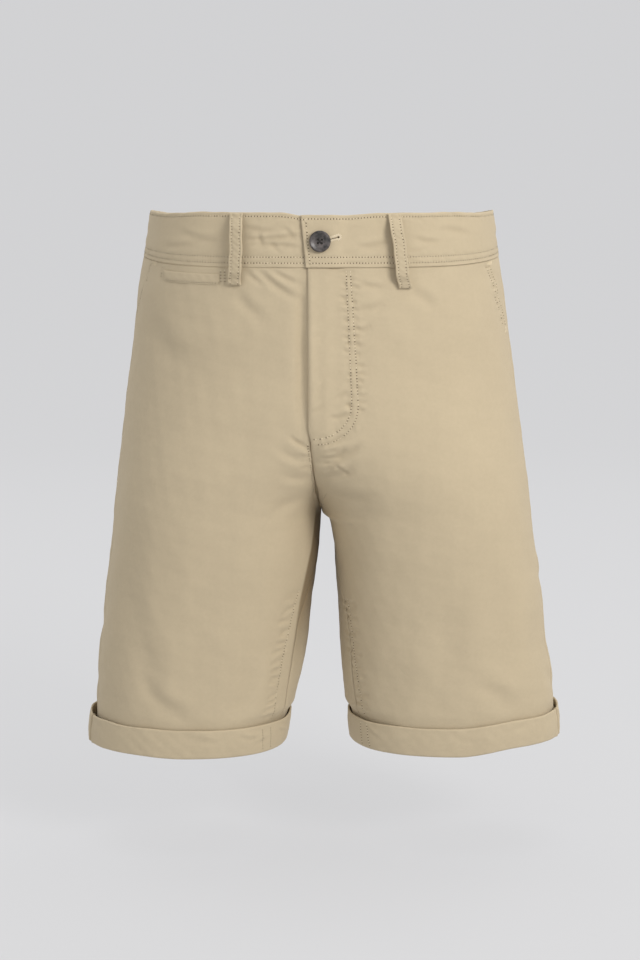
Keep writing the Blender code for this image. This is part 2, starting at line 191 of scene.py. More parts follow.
# One row for each level section of the filled-out form, from the waist down.
SECTIONS = np.array([
    # down,  out_right, out_left, in_right, in_left, front,  back
    (0.0000, 0.1510, 0.1525, 0.0000, 0.0000, 0.1120, 0.1120),
    (0.0397, 0.1575, 0.1580, 0.0000, 0.0000, 0.1155, 0.1180),
    (0.0697, 0.1635, 0.1630, 0.0000, 0.0000, 0.1170, 0.1230),
    (0.1100, 0.1675, 0.1687, 0.0000, 0.0000, 0.1175, 0.1270),
    (0.1605, 0.1744, 0.1754, 0.0000, 0.0000, 0.1165, 0.1280),
    (0.2157, 0.1811, 0.1834, 0.0000, 0.0000, 0.1130, 0.1225),
    (0.2685, 0.1872, 0.1905, 0.0000, 0.0000, 0.1060, 0.1120),
    (0.2725, 0.1876, 0.1910, 0.0001, 0.0059, 0.1054, 0.1110),
    (0.2840, 0.1889, 0.1925, 0.0003, 0.0094, 0.1036, 0.1080),
    (0.2995, 0.1907, 0.1947, 0.0011, 0.0120, 0.1010, 0.1040),
    (0.3266, 0.1943, 0.1992, 0.0045, 0.0141, 0.0960, 0.0970),
    (0.3550, 0.1980, 0.2029, 0.0082, 0.0157, 0.0910, 0.0890),
    (0.3835, 0.2014, 0.2056, 0.0117, 0.0171, 0.0865, 0.0820),
    (0.4120, 0.2049, 0.2107, 0.0157, 0.0184, 0.0825, 0.0760),
    (0.4410, 0.2064, 0.2143, 0.0228, 0.0218, 0.0785, 0.0705),
    (0.4840, 0.2084, 0.2162, 0.0325, 0.0279, 0.0735, 0.0640),
])


def smooth(a, b, x):
    """Ease from 0 at a to 1 at b."""
    t = np.clip((x - a) / (b - a), 0.0, 1.0)
    return t * t * (3.0 - 2.0 * t)


def sizes(down):
    """The form's sizes at a level, by a smooth curve through the rows that never overshoots."""
    rows = SECTIONS
    down = min(max(down, rows[0, 0]), rows[-1, 0])
    k = min(int(np.searchsorted(rows[:, 0], down, side="right")) - 1, len(rows) - 2)
    h = rows[k + 1, 0] - rows[k, 0]
    t = (down - rows[k, 0]) / h
    slope = np.diff(rows[:, 1:], axis=0) / np.diff(rows[:, 0])[:, None]

    def tangent(i):
        if i == 0 or i == len(rows) - 1:
            return slope[min(i, len(rows) - 2)]
        product = slope[i - 1] * slope[i]
        total = slope[i - 1] + slope[i]
        return np.where(product > 0, 2.0 * product / np.where(total == 0, 1.0, total), 0.0)

    return (
        (2 * t ** 3 - 3 * t ** 2 + 1) * rows[k, 1:]
        + (t ** 3 - 2 * t ** 2 + t) * h * tangent(k)
        + (3 * t ** 2 - 2 * t ** 3) * rows[k + 1, 1:]
        + (t ** 3 - t ** 2) * h * tangent(k + 1)
    )


def lobe(side, down):
    """Peak line, inner and outer half widths, depths and inner hollow of one leg's section."""
    out_r, out_l, in_r, in_l, front, back = sizes(down)
    outer = out_l if side > 0 else out_r
    inner = in_l if side > 0 else in_r
    if down < RISE:
        t = max(down, 0.0) / RISE
        peak = outer / 2.0 * smooth(0.45, 1.0, t)
        whole = math.hypot(1.0, CROTCH_SOFT) - CROTCH_SOFT
        t = 1.0 - (math.hypot(1.0 - t, CROTCH_SOFT) - CROTCH_SOFT) / whole
        inside = peak + (outer - peak) * (1.0 - t ** 4) * (1.0 - 0.45 * t ** 8)
        return peak, inside, outer - peak, front, back, 0.0
    spread = SECTIONS[-1, 4 if side > 0 else 3] * (down - RISE) / (HEM - RISE)
    half = (outer - spread) / 2.0
    return spread + half, half, half, front, back, inner - spread


def squared(v):
    """A signed power that squares up an ellipse."""
    return np.sign(v) * np.abs(v) ** (2.0 / ROUND)


def on_lobe(side, down, degrees):
    """Points at angles round one leg: 0 inside, 90 in front, 180 at the side."""
    peak, inside, outside, front, back, hollow = lobe(side, down)
    a = np.radians(degrees)
    c, s = np.cos(a), np.sin(a)
    y = -squared(s) * np.where(s >= 0, front, back)
    x = peak - np.where(c > 0, inside, outside) * squared(c) + hollow * np.maximum(0.0, c) ** 4
    return side * x, y


def cut_angle(side, down):
    peak, inside = lobe(side, down)[:2]
    if down >= RISE:
        return 0.0
    return math.degrees(math.acos(min(1.0, (peak / inside) ** (ROUND / 2.0))))


def outseam(down):
    return 172.0 - 5.0 * smooth(0.05, HEM, down)


def inseam(down):
    return 27.0 * smooth(RISE, 0.378, down) - 4.0 * smooth(0.410, HEM, down)


def lean(x, y, down):
    """How far the front centre seam is carried towards the wearer's right."""
    shift = -0.0085 + 0.0065 * smooth(FLY_END, RISE, down)
    below = 1.0 - smooth(RISE, RISE + 0.05, down)
    return shift * np.exp(-(x / 0.045) ** 2) * smooth(0.0, 0.05, -y) * below


def dip(x, y, down, side):
    """How far the cloth sinks below its level, less how far the hem rises there."""
    ahead = smooth(0.0, 0.112, -y)
    behind = smooth(0.0, 0.112, y)
    if down <= BAND_SIDE:
        deep = DIP_TOP + (DIP_LOW - DIP_TOP) * down / BAND_SIDE
    else:
        deep = DIP_LOW * (1.0 - smooth(BAND_SIDE, 0.13, down))
    sunk = deep * ahead + DIP_BACK * behind * (1.0 - smooth(0.0, 0.13, down))
    peak, _, outside = lobe(side, down)[:3]
    raised = HEM_RAISE[side] + HEM_RISE[side] * smooth(0.0, 0.6, (np.abs(x) - peak) / outside)
    return sunk - raised * smooth(0.370, HEM, down)


def run_round(side, down, start, end, lap=0.0):
    """Points round a section from one angle to another; a lap runs past the centre seam first."""
    x, y = on_lobe(side, down, np.linspace(start, end, 181))
    if lap > 0.0:
        far_x, far_y = on_lobe(-side, down, np.linspace(cut_angle(-side, down), 100.0, 61))
        keep = (-side * far_x > 1e-6) & (-side * far_x < lap)
        extra = np.append(far_x[keep][::-1], x)
        edge_y = far_y[keep][-1] if keep.any() else y[0]
        x = np.append(-side * lap, extra)
        y = np.append(edge_y, np.append(far_y[keep][::-1], y))
    return x, y


def even(x, y, shares, trim_start, trim_end):
    """Points at shares of a run's length, with their run lengths and outward normals."""
    step = np.hypot(np.diff(x), np.diff(y))
    run = np.append(0.0, np.cumsum(step))
    want = trim_start + (run[-1] - trim_start - trim_end) * shares
    k = np.clip(np.searchsorted(run, want, side="right") - 1, 0, len(step) - 1)
    t = (want - run[k]) / step[k]
    tx = np.diff(x)[k] / step[k]
    ty = np.diff(y)[k] / step[k]
    if len(shares) > 2:
        turn = np.hypot(tx, ty)
        tx = np.convolve(np.pad(tx / turn, 2, mode="edge"), np.ones(5) / 5, "valid")
        ty = np.convolve(np.pad(ty / turn, 2, mode="edge"), np.ones(5) / 5, "valid")
        turn = np.hypot(tx, ty)
        tx, ty = tx / turn, ty / turn
    return x[k] + np.diff(x)[k] * t, y[k] + np.diff(y)[k] * t, want, tx, ty


def section_row(side, down, points):
    """A row of the form at one level: places and outward normals of its points."""
    x, y, run, tx, ty = points
    place = np.stack([x + lean(x, y, down) + side * SEAM, y, -down - dip(x, y, down, side)], -1)
    out = np.stack([side * ty, -side * tx, np.zeros_like(tx)], -1)
    return place, out, run


def spot(face, across, down):
    """The place and outward normal on the form seen from one face: across is x in front and
    behind, and y at a side."""
    if face in ("front", "back"):
        side = 1 if across > 0 else -1
        if face == "front" and down < RISE:
            side = 1 if across > lean(0.0, -0.11, down) else -1
        start, end = (0.0, 180.0) if face == "front" else (180.0, 360.0)
    else:
        side = 1 if face == "left" else -1
        start, end = 90.0, 270.0
    x, y = on_lobe(side, down, np.linspace(start, end, 361))
    moved = x + lean(x, y, down)
    value = side * moved if face in ("front", "back") else y
    aim = side * across if face in ("front", "back") else across
    if face == "front":
        first = int(np.argmin(value))
        value, x, y, moved = value[first:], x[first:], y[first:], moved[first:]
    if face == "back":
        last = int(np.argmin(value)) + 1
        value, x, y, moved = value[:last], x[:last], y[:last], moved[:last]
    order = np.argsort(value)
    k = int(np.clip(np.searchsorted(value[order], aim), 1, len(order) - 1))
    a, b = order[k - 1], order[k]
    gap = value[b] - value[a]
    t = float(np.clip((aim - value[a]) / gap, 0.0, 1.0)) if abs(gap) > 1e-12 else 0.0
    px, py = x[a] + (x[b] - x[a]) * t, y[a] + (y[b] - y[a]) * t
    mx = moved[a] + (moved[b] - moved[a]) * t
    lo, hi = min(a, b), max(a, b)
    tx, ty = x[hi] - x[lo], y[hi] - y[lo]
    size = math.hypot(tx, ty)
    z = -down - float(dip(np.array(px), np.array(py), down, side))
    return np.array([mx, py, z]), np.array([side * ty / size, -side * tx / size, 0.0])


def line_on(face, stops, step=0.004):
    """A run of places on the form through stops given as (across, down), with their normals."""
    places, normals = [], []
    for (a, d), (b, e) in zip(stops, stops[1:]):
        n = max(1, int(math.hypot(b - a, e - d) / step))
        for k in range(n + (1 if (b, e) == stops[-1] else 0)):
            p, out = spot(face, a + (b - a) * k / n, d + (e - d) * k / n)
            places.append(p)
            normals.append(out)
    return np.array(places), np.array(normals)


def near_line(points, line, reach):
    """Distance from points to a line, the share along it, and the nearest place on it."""
    low, high = line.min(0) - reach, line.max(0) + reach
    close = np.nonzero(((points > low) & (points < high)).all(1))[0]
    found = np.full(len(close), 1e9)
    share = np.zeros(len(close))
    foot = np.zeros((len(close), 3))
    p = points[close]
    for k, (a, b) in enumerate(zip(line, line[1:])):
        ab = b - a
        t = np.clip(((p - a) @ ab) / max(ab @ ab, 1e-12), 0.0, 1.0)
        q = a + t[:, None] * ab
        d = np.linalg.norm(p - q, axis=1)
        better = d < found
        found[better] = d[better]
        share[better] = (k + t[better]) / (len(line) - 1)
        foot[better] = q[better]
    return close, found, share, foot


def fold_line(face, a1, d1, a2, d2, bow):
    """The line of a crease between two stops, bowed to one side."""
    long = math.hypot(a2 - a1, d2 - d1)
    stops = []
    for k in range(9):
        t = k / 8
        off = bow * math.sin(math.pi * t)
        across = a1 + (a2 - a1) * t - (d2 - d1) / long * off
        down = d1 + (d2 - d1) * t + (a2 - a1) / long * off
        stops.append((across, down))
    return line_on(face, stops, 1.0)


def creased(points, folds):
    """How far each point is moved by a table of creases: a trough with a softer ridge beside it."""
    moved = np.zeros(len(points))
    for face, a1, d1, a2, d2, bow, width, depth in folds:
        line, out = fold_line(face, a1, d1, a2, d2, bow)
        close, dist, share, foot = near_line(points, line, 4.0 * width)
        if not len(close):
            continue
        along = line[-1] - line[0]
        beside = np.cross(out[len(out) // 2], along)
        beside /= np.linalg.norm(beside)
        signed = (points[close] - foot) @ beside
        fade = np.sin(np.pi * np.clip(share, 0.02, 0.98)) ** 0.6
        trough = np.exp(-(dist / width) ** 2)
        ridge = 0.55 * np.exp(-(((signed - 1.7 * width) / (1.2 * width)) ** 2))
        ridge *= np.exp(-((dist / (3.0 * width)) ** 4))
        moved[close] += depth * fade * (ridge - trough)
    return moved


def ripple(points, length, seed):
    """An even, random-looking swell of about the given wavelength, between -1 and 1."""
    rng = np.random.RandomState(seed)
    total = np.zeros(len(points))
    for _ in range(9):
        way = rng.normal(size=3)
        way /= np.linalg.norm(way)
        pitch = math.tau / (length * rng.uniform(0.7, 1.5))
        total += np.sin(points @ way * pitch + rng.uniform(0.0, math.tau))
    return total / 4.2


def worn_at(rise):
    """How much the cloth has faded where it stands up by a rise."""
    return np.clip(rise * 420.0, 0.0, 0.6)


def twill(name, colour, turned=False):
    """Washed cotton twill: fine diagonal wales, slubs, a faint fade on raised cloth and seams, painted shade
    beside and in the dips of stitch rows, and a deep painted shade on marked cloth where shade falls."""
    mat = material(name, shine=0.18, sheen=0.10, sheen_rough=0.55, sheen_tint=(1.0, 0.94, 0.82, 1.0))
    nodes, links = mat.node_tree.nodes, mat.node_tree.links
    bsdf = nodes["Principled BSDF"]

    def node(kind, **values):
        n = nodes.new(kind)
        for key, value in values.items():
            setattr(n, key, value)
        return n

    def math_node(kind, a, b, clamp=False):
        n = node("ShaderNodeMath", operation=kind, use_clamp=clamp)
        for k, v in enumerate((a, b)):
            if isinstance(v, (int, float)):
                n.inputs[k].default_value = v
            else:
                links.new(v, n.inputs[k])
        return n.outputs[0]

    def noise(vector, scale, detail, rough=0.5):
        n = node("ShaderNodeTexNoise")
        n.inputs["Scale"].default_value = scale
        n.inputs["Detail"].default_value = detail
        n.inputs["Roughness"].default_value = rough
        links.new(vector, n.inputs["Vector"])
        return n.outputs["Fac"]

    def blend(fac, a, b, kind="MIX"):
        n = node("ShaderNodeMix", data_type="RGBA", blend_type=kind)
        if isinstance(fac, float):
            n.inputs[0].default_value = fac
        else:
            links.new(fac, n.inputs[0])
        for socket, value in ((n.inputs[6], a), (n.inputs[7], b)):
            if isinstance(value, tuple):
                socket.default_value = (*value, 1.0)
            else:
                links.new(value, socket)
        return n.outputs[2]

    coords = node("ShaderNodeTexCoord")
    turn = node("ShaderNodeMapping")
    turn.inputs["Rotation"].default_value = (0.0, 0.0, math.radians(62.0 if turned else -28.0))
    links.new(coords.outputs["UV"], turn.inputs["Vector"])
    wales = node("ShaderNodeTexWave", wave_type="BANDS", bands_direction="Y")
    wales.inputs["Scale"].default_value = 560.0
    wales.inputs["Distortion"].default_value = 1.1
    wales.inputs["Detail"].default_value = 2.0
    wales.inputs["Detail Scale"].default_value = 0.6
    links.new(turn.outputs["Vector"], wales.inputs["Vector"])
    stretch = node("ShaderNodeMapping")
    stretch.inputs["Scale"].default_value = (1.0, 0.16, 1.0)
    links.new(coords.outputs["UV"], stretch.inputs["Vector"])
    slubs = noise(stretch.outputs["Vector"], 900.0, 3.0, 0.6)
    nap = noise(coords.outputs["UV"], 1500.0, 2.0, 0.7)
    heather = noise(coords.outputs["UV"], 260.0, 4.0, 0.62)
    wash = noise(coords.outputs["Object"], 16.0, 3.0, 0.55)
    near = node("ShaderNodeAttribute", attribute_name="row").outputs["Fac"]
    rim = node("ShaderNodeAttribute", attribute_name="edge").outputs["Fac"]
    raised = node("ShaderNodeAttribute", attribute_name="raised").outputs["Fac"]
    trough = math_node("POWER", math_node("SUBTRACT", 1.0, math_node("DIVIDE", near, 0.0013), True), 1.5)
    beside = math_node("SUBTRACT", 1.0, math_node("DIVIDE", near, 0.0045), True)
    worn = math_node("SUBTRACT", 1.0, math_node("DIVIDE", rim, 0.0022), True)

    dark = tuple(c * 0.86 for c in colour)
    light = tuple(min(1.0, c * 1.12) for c in colour)
    tone = blend(heather, dark, light)
    tone = blend(0.45, tone, colour)
    washed = blend(math_node("MULTIPLY", wash, 0.35), tone, tuple(c * 0.93 for c in colour))
    wale_shade = math_node("MULTIPLY", wales.outputs["Fac"], 0.10)
    fibre = blend(math_node("ADD", wale_shade, math_node("MULTIPLY", slubs, 0.10)), washed, light)
    # Painted shade: cloth beside stitch rows, and in the dip each row pulls, is darkened as if shaded.
    row_shaded = blend(math_node("MULTIPLY", beside, 0.08), fibre, dark)
    sunk = blend(math_node("MULTIPLY", trough, 0.06), row_shaded, tuple(c * 0.70 for c in colour))
    faded = blend(math_node("MULTIPLY", worn, 0.35), sunk, light)
    faded = blend(math_node("MULTIPLY", raised, 0.35, True), faded, light)
    # Painted shade: the attribute read here marks cloth painted much darker, for shade between the legs and
    # in the cuff slits.
    shade_mask = node("ShaderNodeAttribute", attribute_name="painted_shade").outputs["Fac"]
    deep = (colour[0] * 0.42, colour[1] * 0.36, colour[2] * 0.28)
    faded = blend(math_node("MULTIPLY", shade_mask, 1.0, True), faded, deep)
    links.new(faded, bsdf.inputs["Base Color"])
    rough = node("ShaderNodeMapRange")
    rough.inputs["To Min"].default_value = 0.84
    rough.inputs["To Max"].default_value = 0.98
    links.new(heather, rough.inputs["Value"])
    links.new(rough.outputs["Result"], bsdf.inputs["Roughness"])

    def bump(height, distance, strength, after=None):
        n = node("ShaderNodeBump")
        n.inputs["Distance"].default_value = distance
        n.inputs["Strength"].default_value = strength
        links.new(height, n.inputs["Height"])
        if after is not None:
            links.new(after, n.inputs["Normal"])
        return n.outputs["Normal"]

    normal = bump(wales.outputs["Fac"], 0.00012, 0.55)
    normal = bump(math_node("ADD", slubs, nap), 0.00008, 0.5, normal)
    normal = bump(heather, 0.0005, 0.22, normal)
    normal = bump(math_node("MULTIPLY", trough, -1.0), 0.0004, 0.30, normal)
    links.new(normal, bsdf.inputs["Normal"])
    return mat


KHAKI = (0.470, 0.388, 0.263)
leg_twill = twill("leg_twill", KHAKI)


def grid_sheet(name, rows, outward, mat, data, thickness=CLOTH):
    """A grid of cloth laid over rows of places; data holds a value for every point by name."""
    count, columns = len(rows), len(rows[0])
    bm = bmesh.new()
    bmesh.ops.create_grid(bm, x_segments=columns - 1, y_segments=count - 1, size=1.0)
    index = []
    for v in bm.verts:
        i = round((v.co.x + 1.0) / 2.0 * (columns - 1))
        j = round((v.co.y + 1.0) / 2.0 * (count - 1))
        index.append(j * columns + i)
        v.co = rows[j][i]
    bm.normal_update()
    facing = sum(f.normal.dot(outward) for f in list(bm.faces)[:: max(1, len(bm.faces) // 400)])
    if facing < 0:
        bmesh.ops.reverse_faces(bm, faces=bm.faces)
    ob = add_mesh(name, bm, [mat])
    index = np.array(index)
    mesh = ob.data
    for key, values in data.items():
        if key in ("u", "v"):
            continue
        mesh.attributes.new(key, "FLOAT", "POINT").data.foreach_set("value", values[index].astype(np.float32))
    corner = np.zeros(len(mesh.loops), np.int32)
    mesh.loops.foreach_get("vertex_index", corner)
    uv = np.stack([data["u"][index][corner], data["v"][index][corner]], -1)
    mesh.uv_layers.new(name="cut").data.foreach_set("uv", uv.astype(np.float32).ravel())
    if thickness:
        wall = ob.modifiers.new("wall", "SOLIDIFY")
        wall.thickness = thickness
        wall.offset = -1.0
        wall.use_even_offset = False
    return ob


# Creases that a body's shape and wear have pressed into the legs, at one row each.
# across: x on the front and back, y on a side, positive behind; width and depth in metres.
FOLDS = [
    # face,   across,  down,   across,  down,   bow,     width,  depth
    ("front", -0.0160, 0.0440, -0.0150, 0.1950, 0.0008, 0.0048, 0.0036),
    ("front", -0.0075, 0.1695, 0.0025, 0.1615, 0.0010, 0.0020, 0.0017),
    ("front", 0.0065, 0.1730, 0.0245, 0.1700, 0.0018, 0.0021, 0.0016),
    ("front", -0.0050, 0.1560, 0.0020, 0.1400, 0.0010, 0.0024, 0.0012),
    ("front", 0.0130, 0.1600, 0.0230, 0.1520, -0.0010, 0.0024, 0.0010),
    ("front", -0.0040, 0.1060, 0.0060, 0.0930, 0.0010, 0.0032, 0.0012),
    ("front", 0.0310, 0.1010, 0.0420, 0.0920, 0.0010, 0.0026, 0.0016),
    ("front", 0.0310, 0.0790, 0.0540, 0.0720, 0.0020, 0.0040, 0.0014),
    ("front", 0.0330, 0.0540, 0.0520, 0.0570, 0.0010, 0.0026, 0.0012),
    ("front", 0.0100, 0.2050, 0.0205, 0.1995, 0.0014, 0.0026, 0.0026),
    ("front", -0.0025, 0.1990, 0.0210, 0.1885, 0.0015, 0.0022, 0.0014),
    ("front", -0.0010, 0.2130, 0.0330, 0.1985, 0.0022, 0.0036, 0.0028),
    ("front", -0.0010, 0.2285, 0.0290, 0.2170, 0.0022, 0.0040, 0.0022),
    ("front", -0.0095, 0.1985, -0.0270, 0.1885, -0.0018, 0.0030, 0.0012),
    ("front", -0.0095, 0.2130, -0.0370, 0.2000, -0.0022, 0.0038, 0.0015),
    ("front", -0.0095, 0.2285, -0.0330, 0.2240, -0.0020, 0.0042, 0.0013),
    ("front", -0.0260, 0.1905, -0.0100, 0.2010, 0.0006, 0.0015, 0.0015),
    ("front", -0.0190, 0.2065, -0.0085, 0.2085, 0.0005, 0.0014, 0.0013),
    ("front", -0.0185, 0.2180, -0.0100, 0.2170, 0.0005, 0.0014, 0.0012),
    ("front", 0.0000, 0.2050, 0.0185, 0.1980, 0.0008, 0.0015, 0.0017),
    ("front", -0.0010, 0.2080, 0.0175, 0.2070, 0.0006, 0.0014, 0.0015),
    ("front", -0.0030, 0.2140, 0.0105, 0.2130, 0.0005, 0.0014, 0.0014),
    ("front", 0.0020, 0.2215, 0.0120, 0.2145, 0.0005, 0.0016, 0.0015),
    ("front", 0.0120, 0.2145, 0.0235, 0.2240, 0.0005, 0.0018, 0.0014),
    ("front", 0.0060, 0.2420, 0.0440, 0.2450, 0.0030, 0.0060, 0.0016),
    ("front", -0.0080, 0.2480, -0.0440, 0.2600, 0.0030, 0.0065, 0.0016),
    ("front", -0.0720, 0.0600, -0.0480, 0.0880, 0.0030, 0.0056, 0.0016),
    ("front", -0.0545, 0.0405, -0.0185, 0.0680, 0.0020, 0.0034, 0.0020),
    ("front", -0.0440, 0.0400, -0.0200, 0.0530, 0.0010, 0.0024, 0.0016),
    ("front", -0.0640, 0.0415, -0.0470, 0.0560, 0.0010, 0.0026, 0.0013),
    ("front", 0.0740, 0.0600, 0.0960, 0.0790, -0.0020, 0.0056, 0.0015),
    ("front", -0.1500, 0.0900, -0.1150, 0.1300, 0.0050, 0.0110, 0.0016),
    ("front", -0.1650, 0.3300, -0.1400, 0.4300, 0.0070, 0.0150, 0.0020),
    ("front", -0.1600, 0.4100, -0.1180, 0.4480, 0.0050, 0.0080, 0.0020),
    ("front", 0.1450, 0.3100, 0.1600, 0.4200, -0.0060, 0.0150, 0.0020),
    ("front", 0.1350, 0.4150, 0.1720, 0.4480, -0.0040, 0.0090, 0.0019),
    ("front", 0.1150, 0.3400, 0.1180, 0.4100, 0.0050, 0.0140, 0.0017),
    ("front", -0.0620, 0.3900, -0.0780, 0.4500, -0.0040, 0.0100, 0.0021),
    ("left", -0.0100, 0.3500, 0.0150, 0.3900, 0.0040, 0.0080, 0.0013),
    ("left", -0.0350, 0.3200, 0.0020, 0.3330, 0.0030, 0.0070, 0.0012),
    ("left", 0.0150, 0.1100, 0.0500, 0.1500, 0.0060, 0.0120, 0.0015),
    ("left", 0.0100, 0.2600, 0.0550, 0.3000, 0.0070, 0.0120, 0.0018),
    ("left", -0.0400, 0.4100, -0.0050, 0.4400, 0.0040, 0.0070, 0.0012),
    ("right", -0.0250, 0.3600, 0.0150, 0.3850, 0.0040, 0.0090, 0.0014),
    ("right", 0.0050, 0.1300, 0.0480, 0.1650, 0.0060, 0.0120, 0.0015),
    ("right", 0.0000, 0.2800, 0.0520, 0.3180, 0.0070, 0.0120, 0.0017),
    ("right", -0.0200, 0.4200, 0.0200, 0.4350, 0.0040, 0.0070, 0.0011),
    ("back", 0.0060, 0.2150, 0.0650, 0.1950, 0.0080, 0.0080, 0.0022),
    ("back", -0.0060, 0.2200, -0.0700, 0.2020, -0.0080, 0.0085, 0.0022),
    ("back", 0.0080, 0.2420, 0.0850, 0.2380, 0.0080, 0.0090, 0.0024),
    ("back", -0.0080, 0.2460, -0.0800, 0.2450, -0.0080, 0.0090, 0.0023),
    ("back", 0.0150, 0.2700, 0.1050, 0.2790, 0.0070, 0.0085, 0.0022),
    ("back", -0.0150, 0.2740, -0.1000, 0.2850, -0.0070, 0.0090, 0.0022),
    ("back", 0.0400, 0.3150, 0.1200, 0.3350, 0.0060, 0.0100, 0.0018),
    ("back", -0.0380, 0.3230, -0.1180, 0.3380, -0.0060, 0.0100, 0.0018),
    ("back", 0.0820, 0.3800, 0.1350, 0.4150, 0.0050, 0.0120, 0.0015),
    ("back", -0.0750, 0.3850, -0.1300, 0.4230, -0.0050, 0.0120, 0.0015),
    ("back", 0.0300, 0.0620, 0.0750, 0.0800, 0.0040, 0.0060, 0.0012),
    ("back", -0.0350, 0.0640, -0.0760, 0.0840, -0.0040, 0.0062, 0.0012),
    ("back", 0.1100, 0.0700, 0.1350, 0.1120, -0.0030, 0.0080, 0.0012),
    ("back", -0.1120, 0.0720, -0.1360, 0.1200, 0.0030, 0.0080, 0.0012),
]


def puckers(face, stops, reach, first_seed):
    """Short creases that a seam's shrunken thread draws across a line of stitching."""
    rng = random.Random(first_seed)
    found = []
    for (a, d), (b, e) in zip(stops, stops[1:]):
        long = math.hypot(b - a, e - d)
        at = rng.uniform(0.002, 0.005)
        while at < long:
            t = at / long
            x, y = a + (b - a) * t, d + (e - d) * t
            wide = reach * rng.uniform(0.55, 1.35)
            tilt = rng.uniform(-0.30, 0.30)
            found.append((face, x, y, x - wide, y + wide * tilt, rng.uniform(-0.0006, 0.0006),
                          rng.uniform(0.0015, 0.0023), rng.uniform(0.0008, 0.0018)))
            at += rng.uniform(0.0045, 0.0105)
    return found


def j_row(top, beside, end, foot, turn):
    """Down beside the fly from the band, then round a quarter turn to its foot."""
    stops = [(top, 0.0415)]
    for k in range(7):
        a = math.radians(90.0 * k / 6)
        stops.append((end + (beside - end) * math.cos(a), foot - turn + turn * math.sin(a)))
    return stops


# Lines of stitching on the legs, as stops of (across, down) on a face.
INSEAM_R = [(-0.0185, 0.3350), (-0.0240, 0.3530), (-0.0315, 0.3850), (-0.0360, 0.4110),
            (-0.0405, 0.4340), (-0.0430, 0.4560)]
INSEAM_L = [(0.0230, 0.3430), (0.0260, 0.3570), (0.0295, 0.3970), (0.0320, 0.4100),
            (0.0345, 0.4300), (0.0375, 0.4560)]
J_INNER = j_row(0.0210, 0.0260, -0.0065, 0.1925, 0.0300)
J_OUTER = j_row(0.0245, 0.0315, -0.0025, 0.1970, 0.0330)
POCKET_L = [(0.1455, 0.0430), (0.1530, 0.0610), (0.1560, 0.0760), (0.1600, 0.0860), (0.1625, 0.0990)]
POCKET_L2 = [(across - 0.0030, down) for across, down in POCKET_L]
POCKET_R = [(-0.1450, 0.0415), (-0.1490, 0.0450), (-0.1520, 0.0580)]
POCKET_R_SIDE = [(-0.0420, 0.0650), (-0.0280, 0.0860), (-0.0180, 0.1020)]
COIN_SIDE = [(-0.0845, 0.0410), (-0.0845, 0.0530)]
COIN_SIDE2 = [(-0.0810, 0.0410), (-0.0810, 0.0530)]
COIN_END = [(-0.1360, 0.0410), (-0.1380, 0.0525)]
CROTCH_R = [(-0.0115, 0.1960), (-0.0085, 0.2200), (-0.0060, 0.2480), (-0.0050, 0.2620)]
SEAT_R = [(-0.0035, 0.0420), (-0.0035, 0.1400), (-0.0035, 0.2600)]
SEAT_R2 = [(-0.0085, 0.0420), (-0.0085, 0.1400), (-0.0085, 0.2600)]

LEG_ROWS = {
    "front_right": [("front", INSEAM_R), ("front", POCKET_R), ("right", POCKET_R_SIDE), ("front", COIN_SIDE),
                    ("front", COIN_SIDE2), ("front", COIN_END), ("front", CROTCH_R)],
    "front_left": [("front", stops) for stops in (INSEAM_L, J_INNER, J_OUTER, POCKET_L, POCKET_L2)],
    "back_right": [("back", SEAT_R), ("back", SEAT_R2)],
    "back_left": [],
}
FOLDS += puckers("front", INSEAM_R, 0.0095, 3)
FOLDS += puckers("front", INSEAM_L, -0.0060, 5)
FOLDS += puckers("front", INSEAM_L, 0.0050, 6)
FOLDS += puckers("front", J_OUTER[:3], -0.0055, 7)
FOLDS += puckers("front", J_INNER[:3], 0.0045, 8)
FOLDS += puckers("front", POCKET_L, 0.0050, 9)


def fly_lift(x, down):
    """The left front stands over the right one in the fly, on the zip's own tape."""
    across = 1.0 - smooth(0.011, 0.022, x)
    return (CLOTH + GAP + 0.0003) * across * (1.0 - smooth(FLY_END - 0.002, FLY_END + 0.012, down))


def leg_levels(step):
    top, crotch, foot = BAND_SIDE + GAP, RISE, HEM - 0.0022
    upper = np.linspace(top, crotch, int((crotch - top) / step))
    lower = np.linspace(crotch, foot, int((foot - crotch) / step))
    return np.append(upper, lower[1:])


LEG_COLUMNS = 150
LEG_STEP = 0.0017


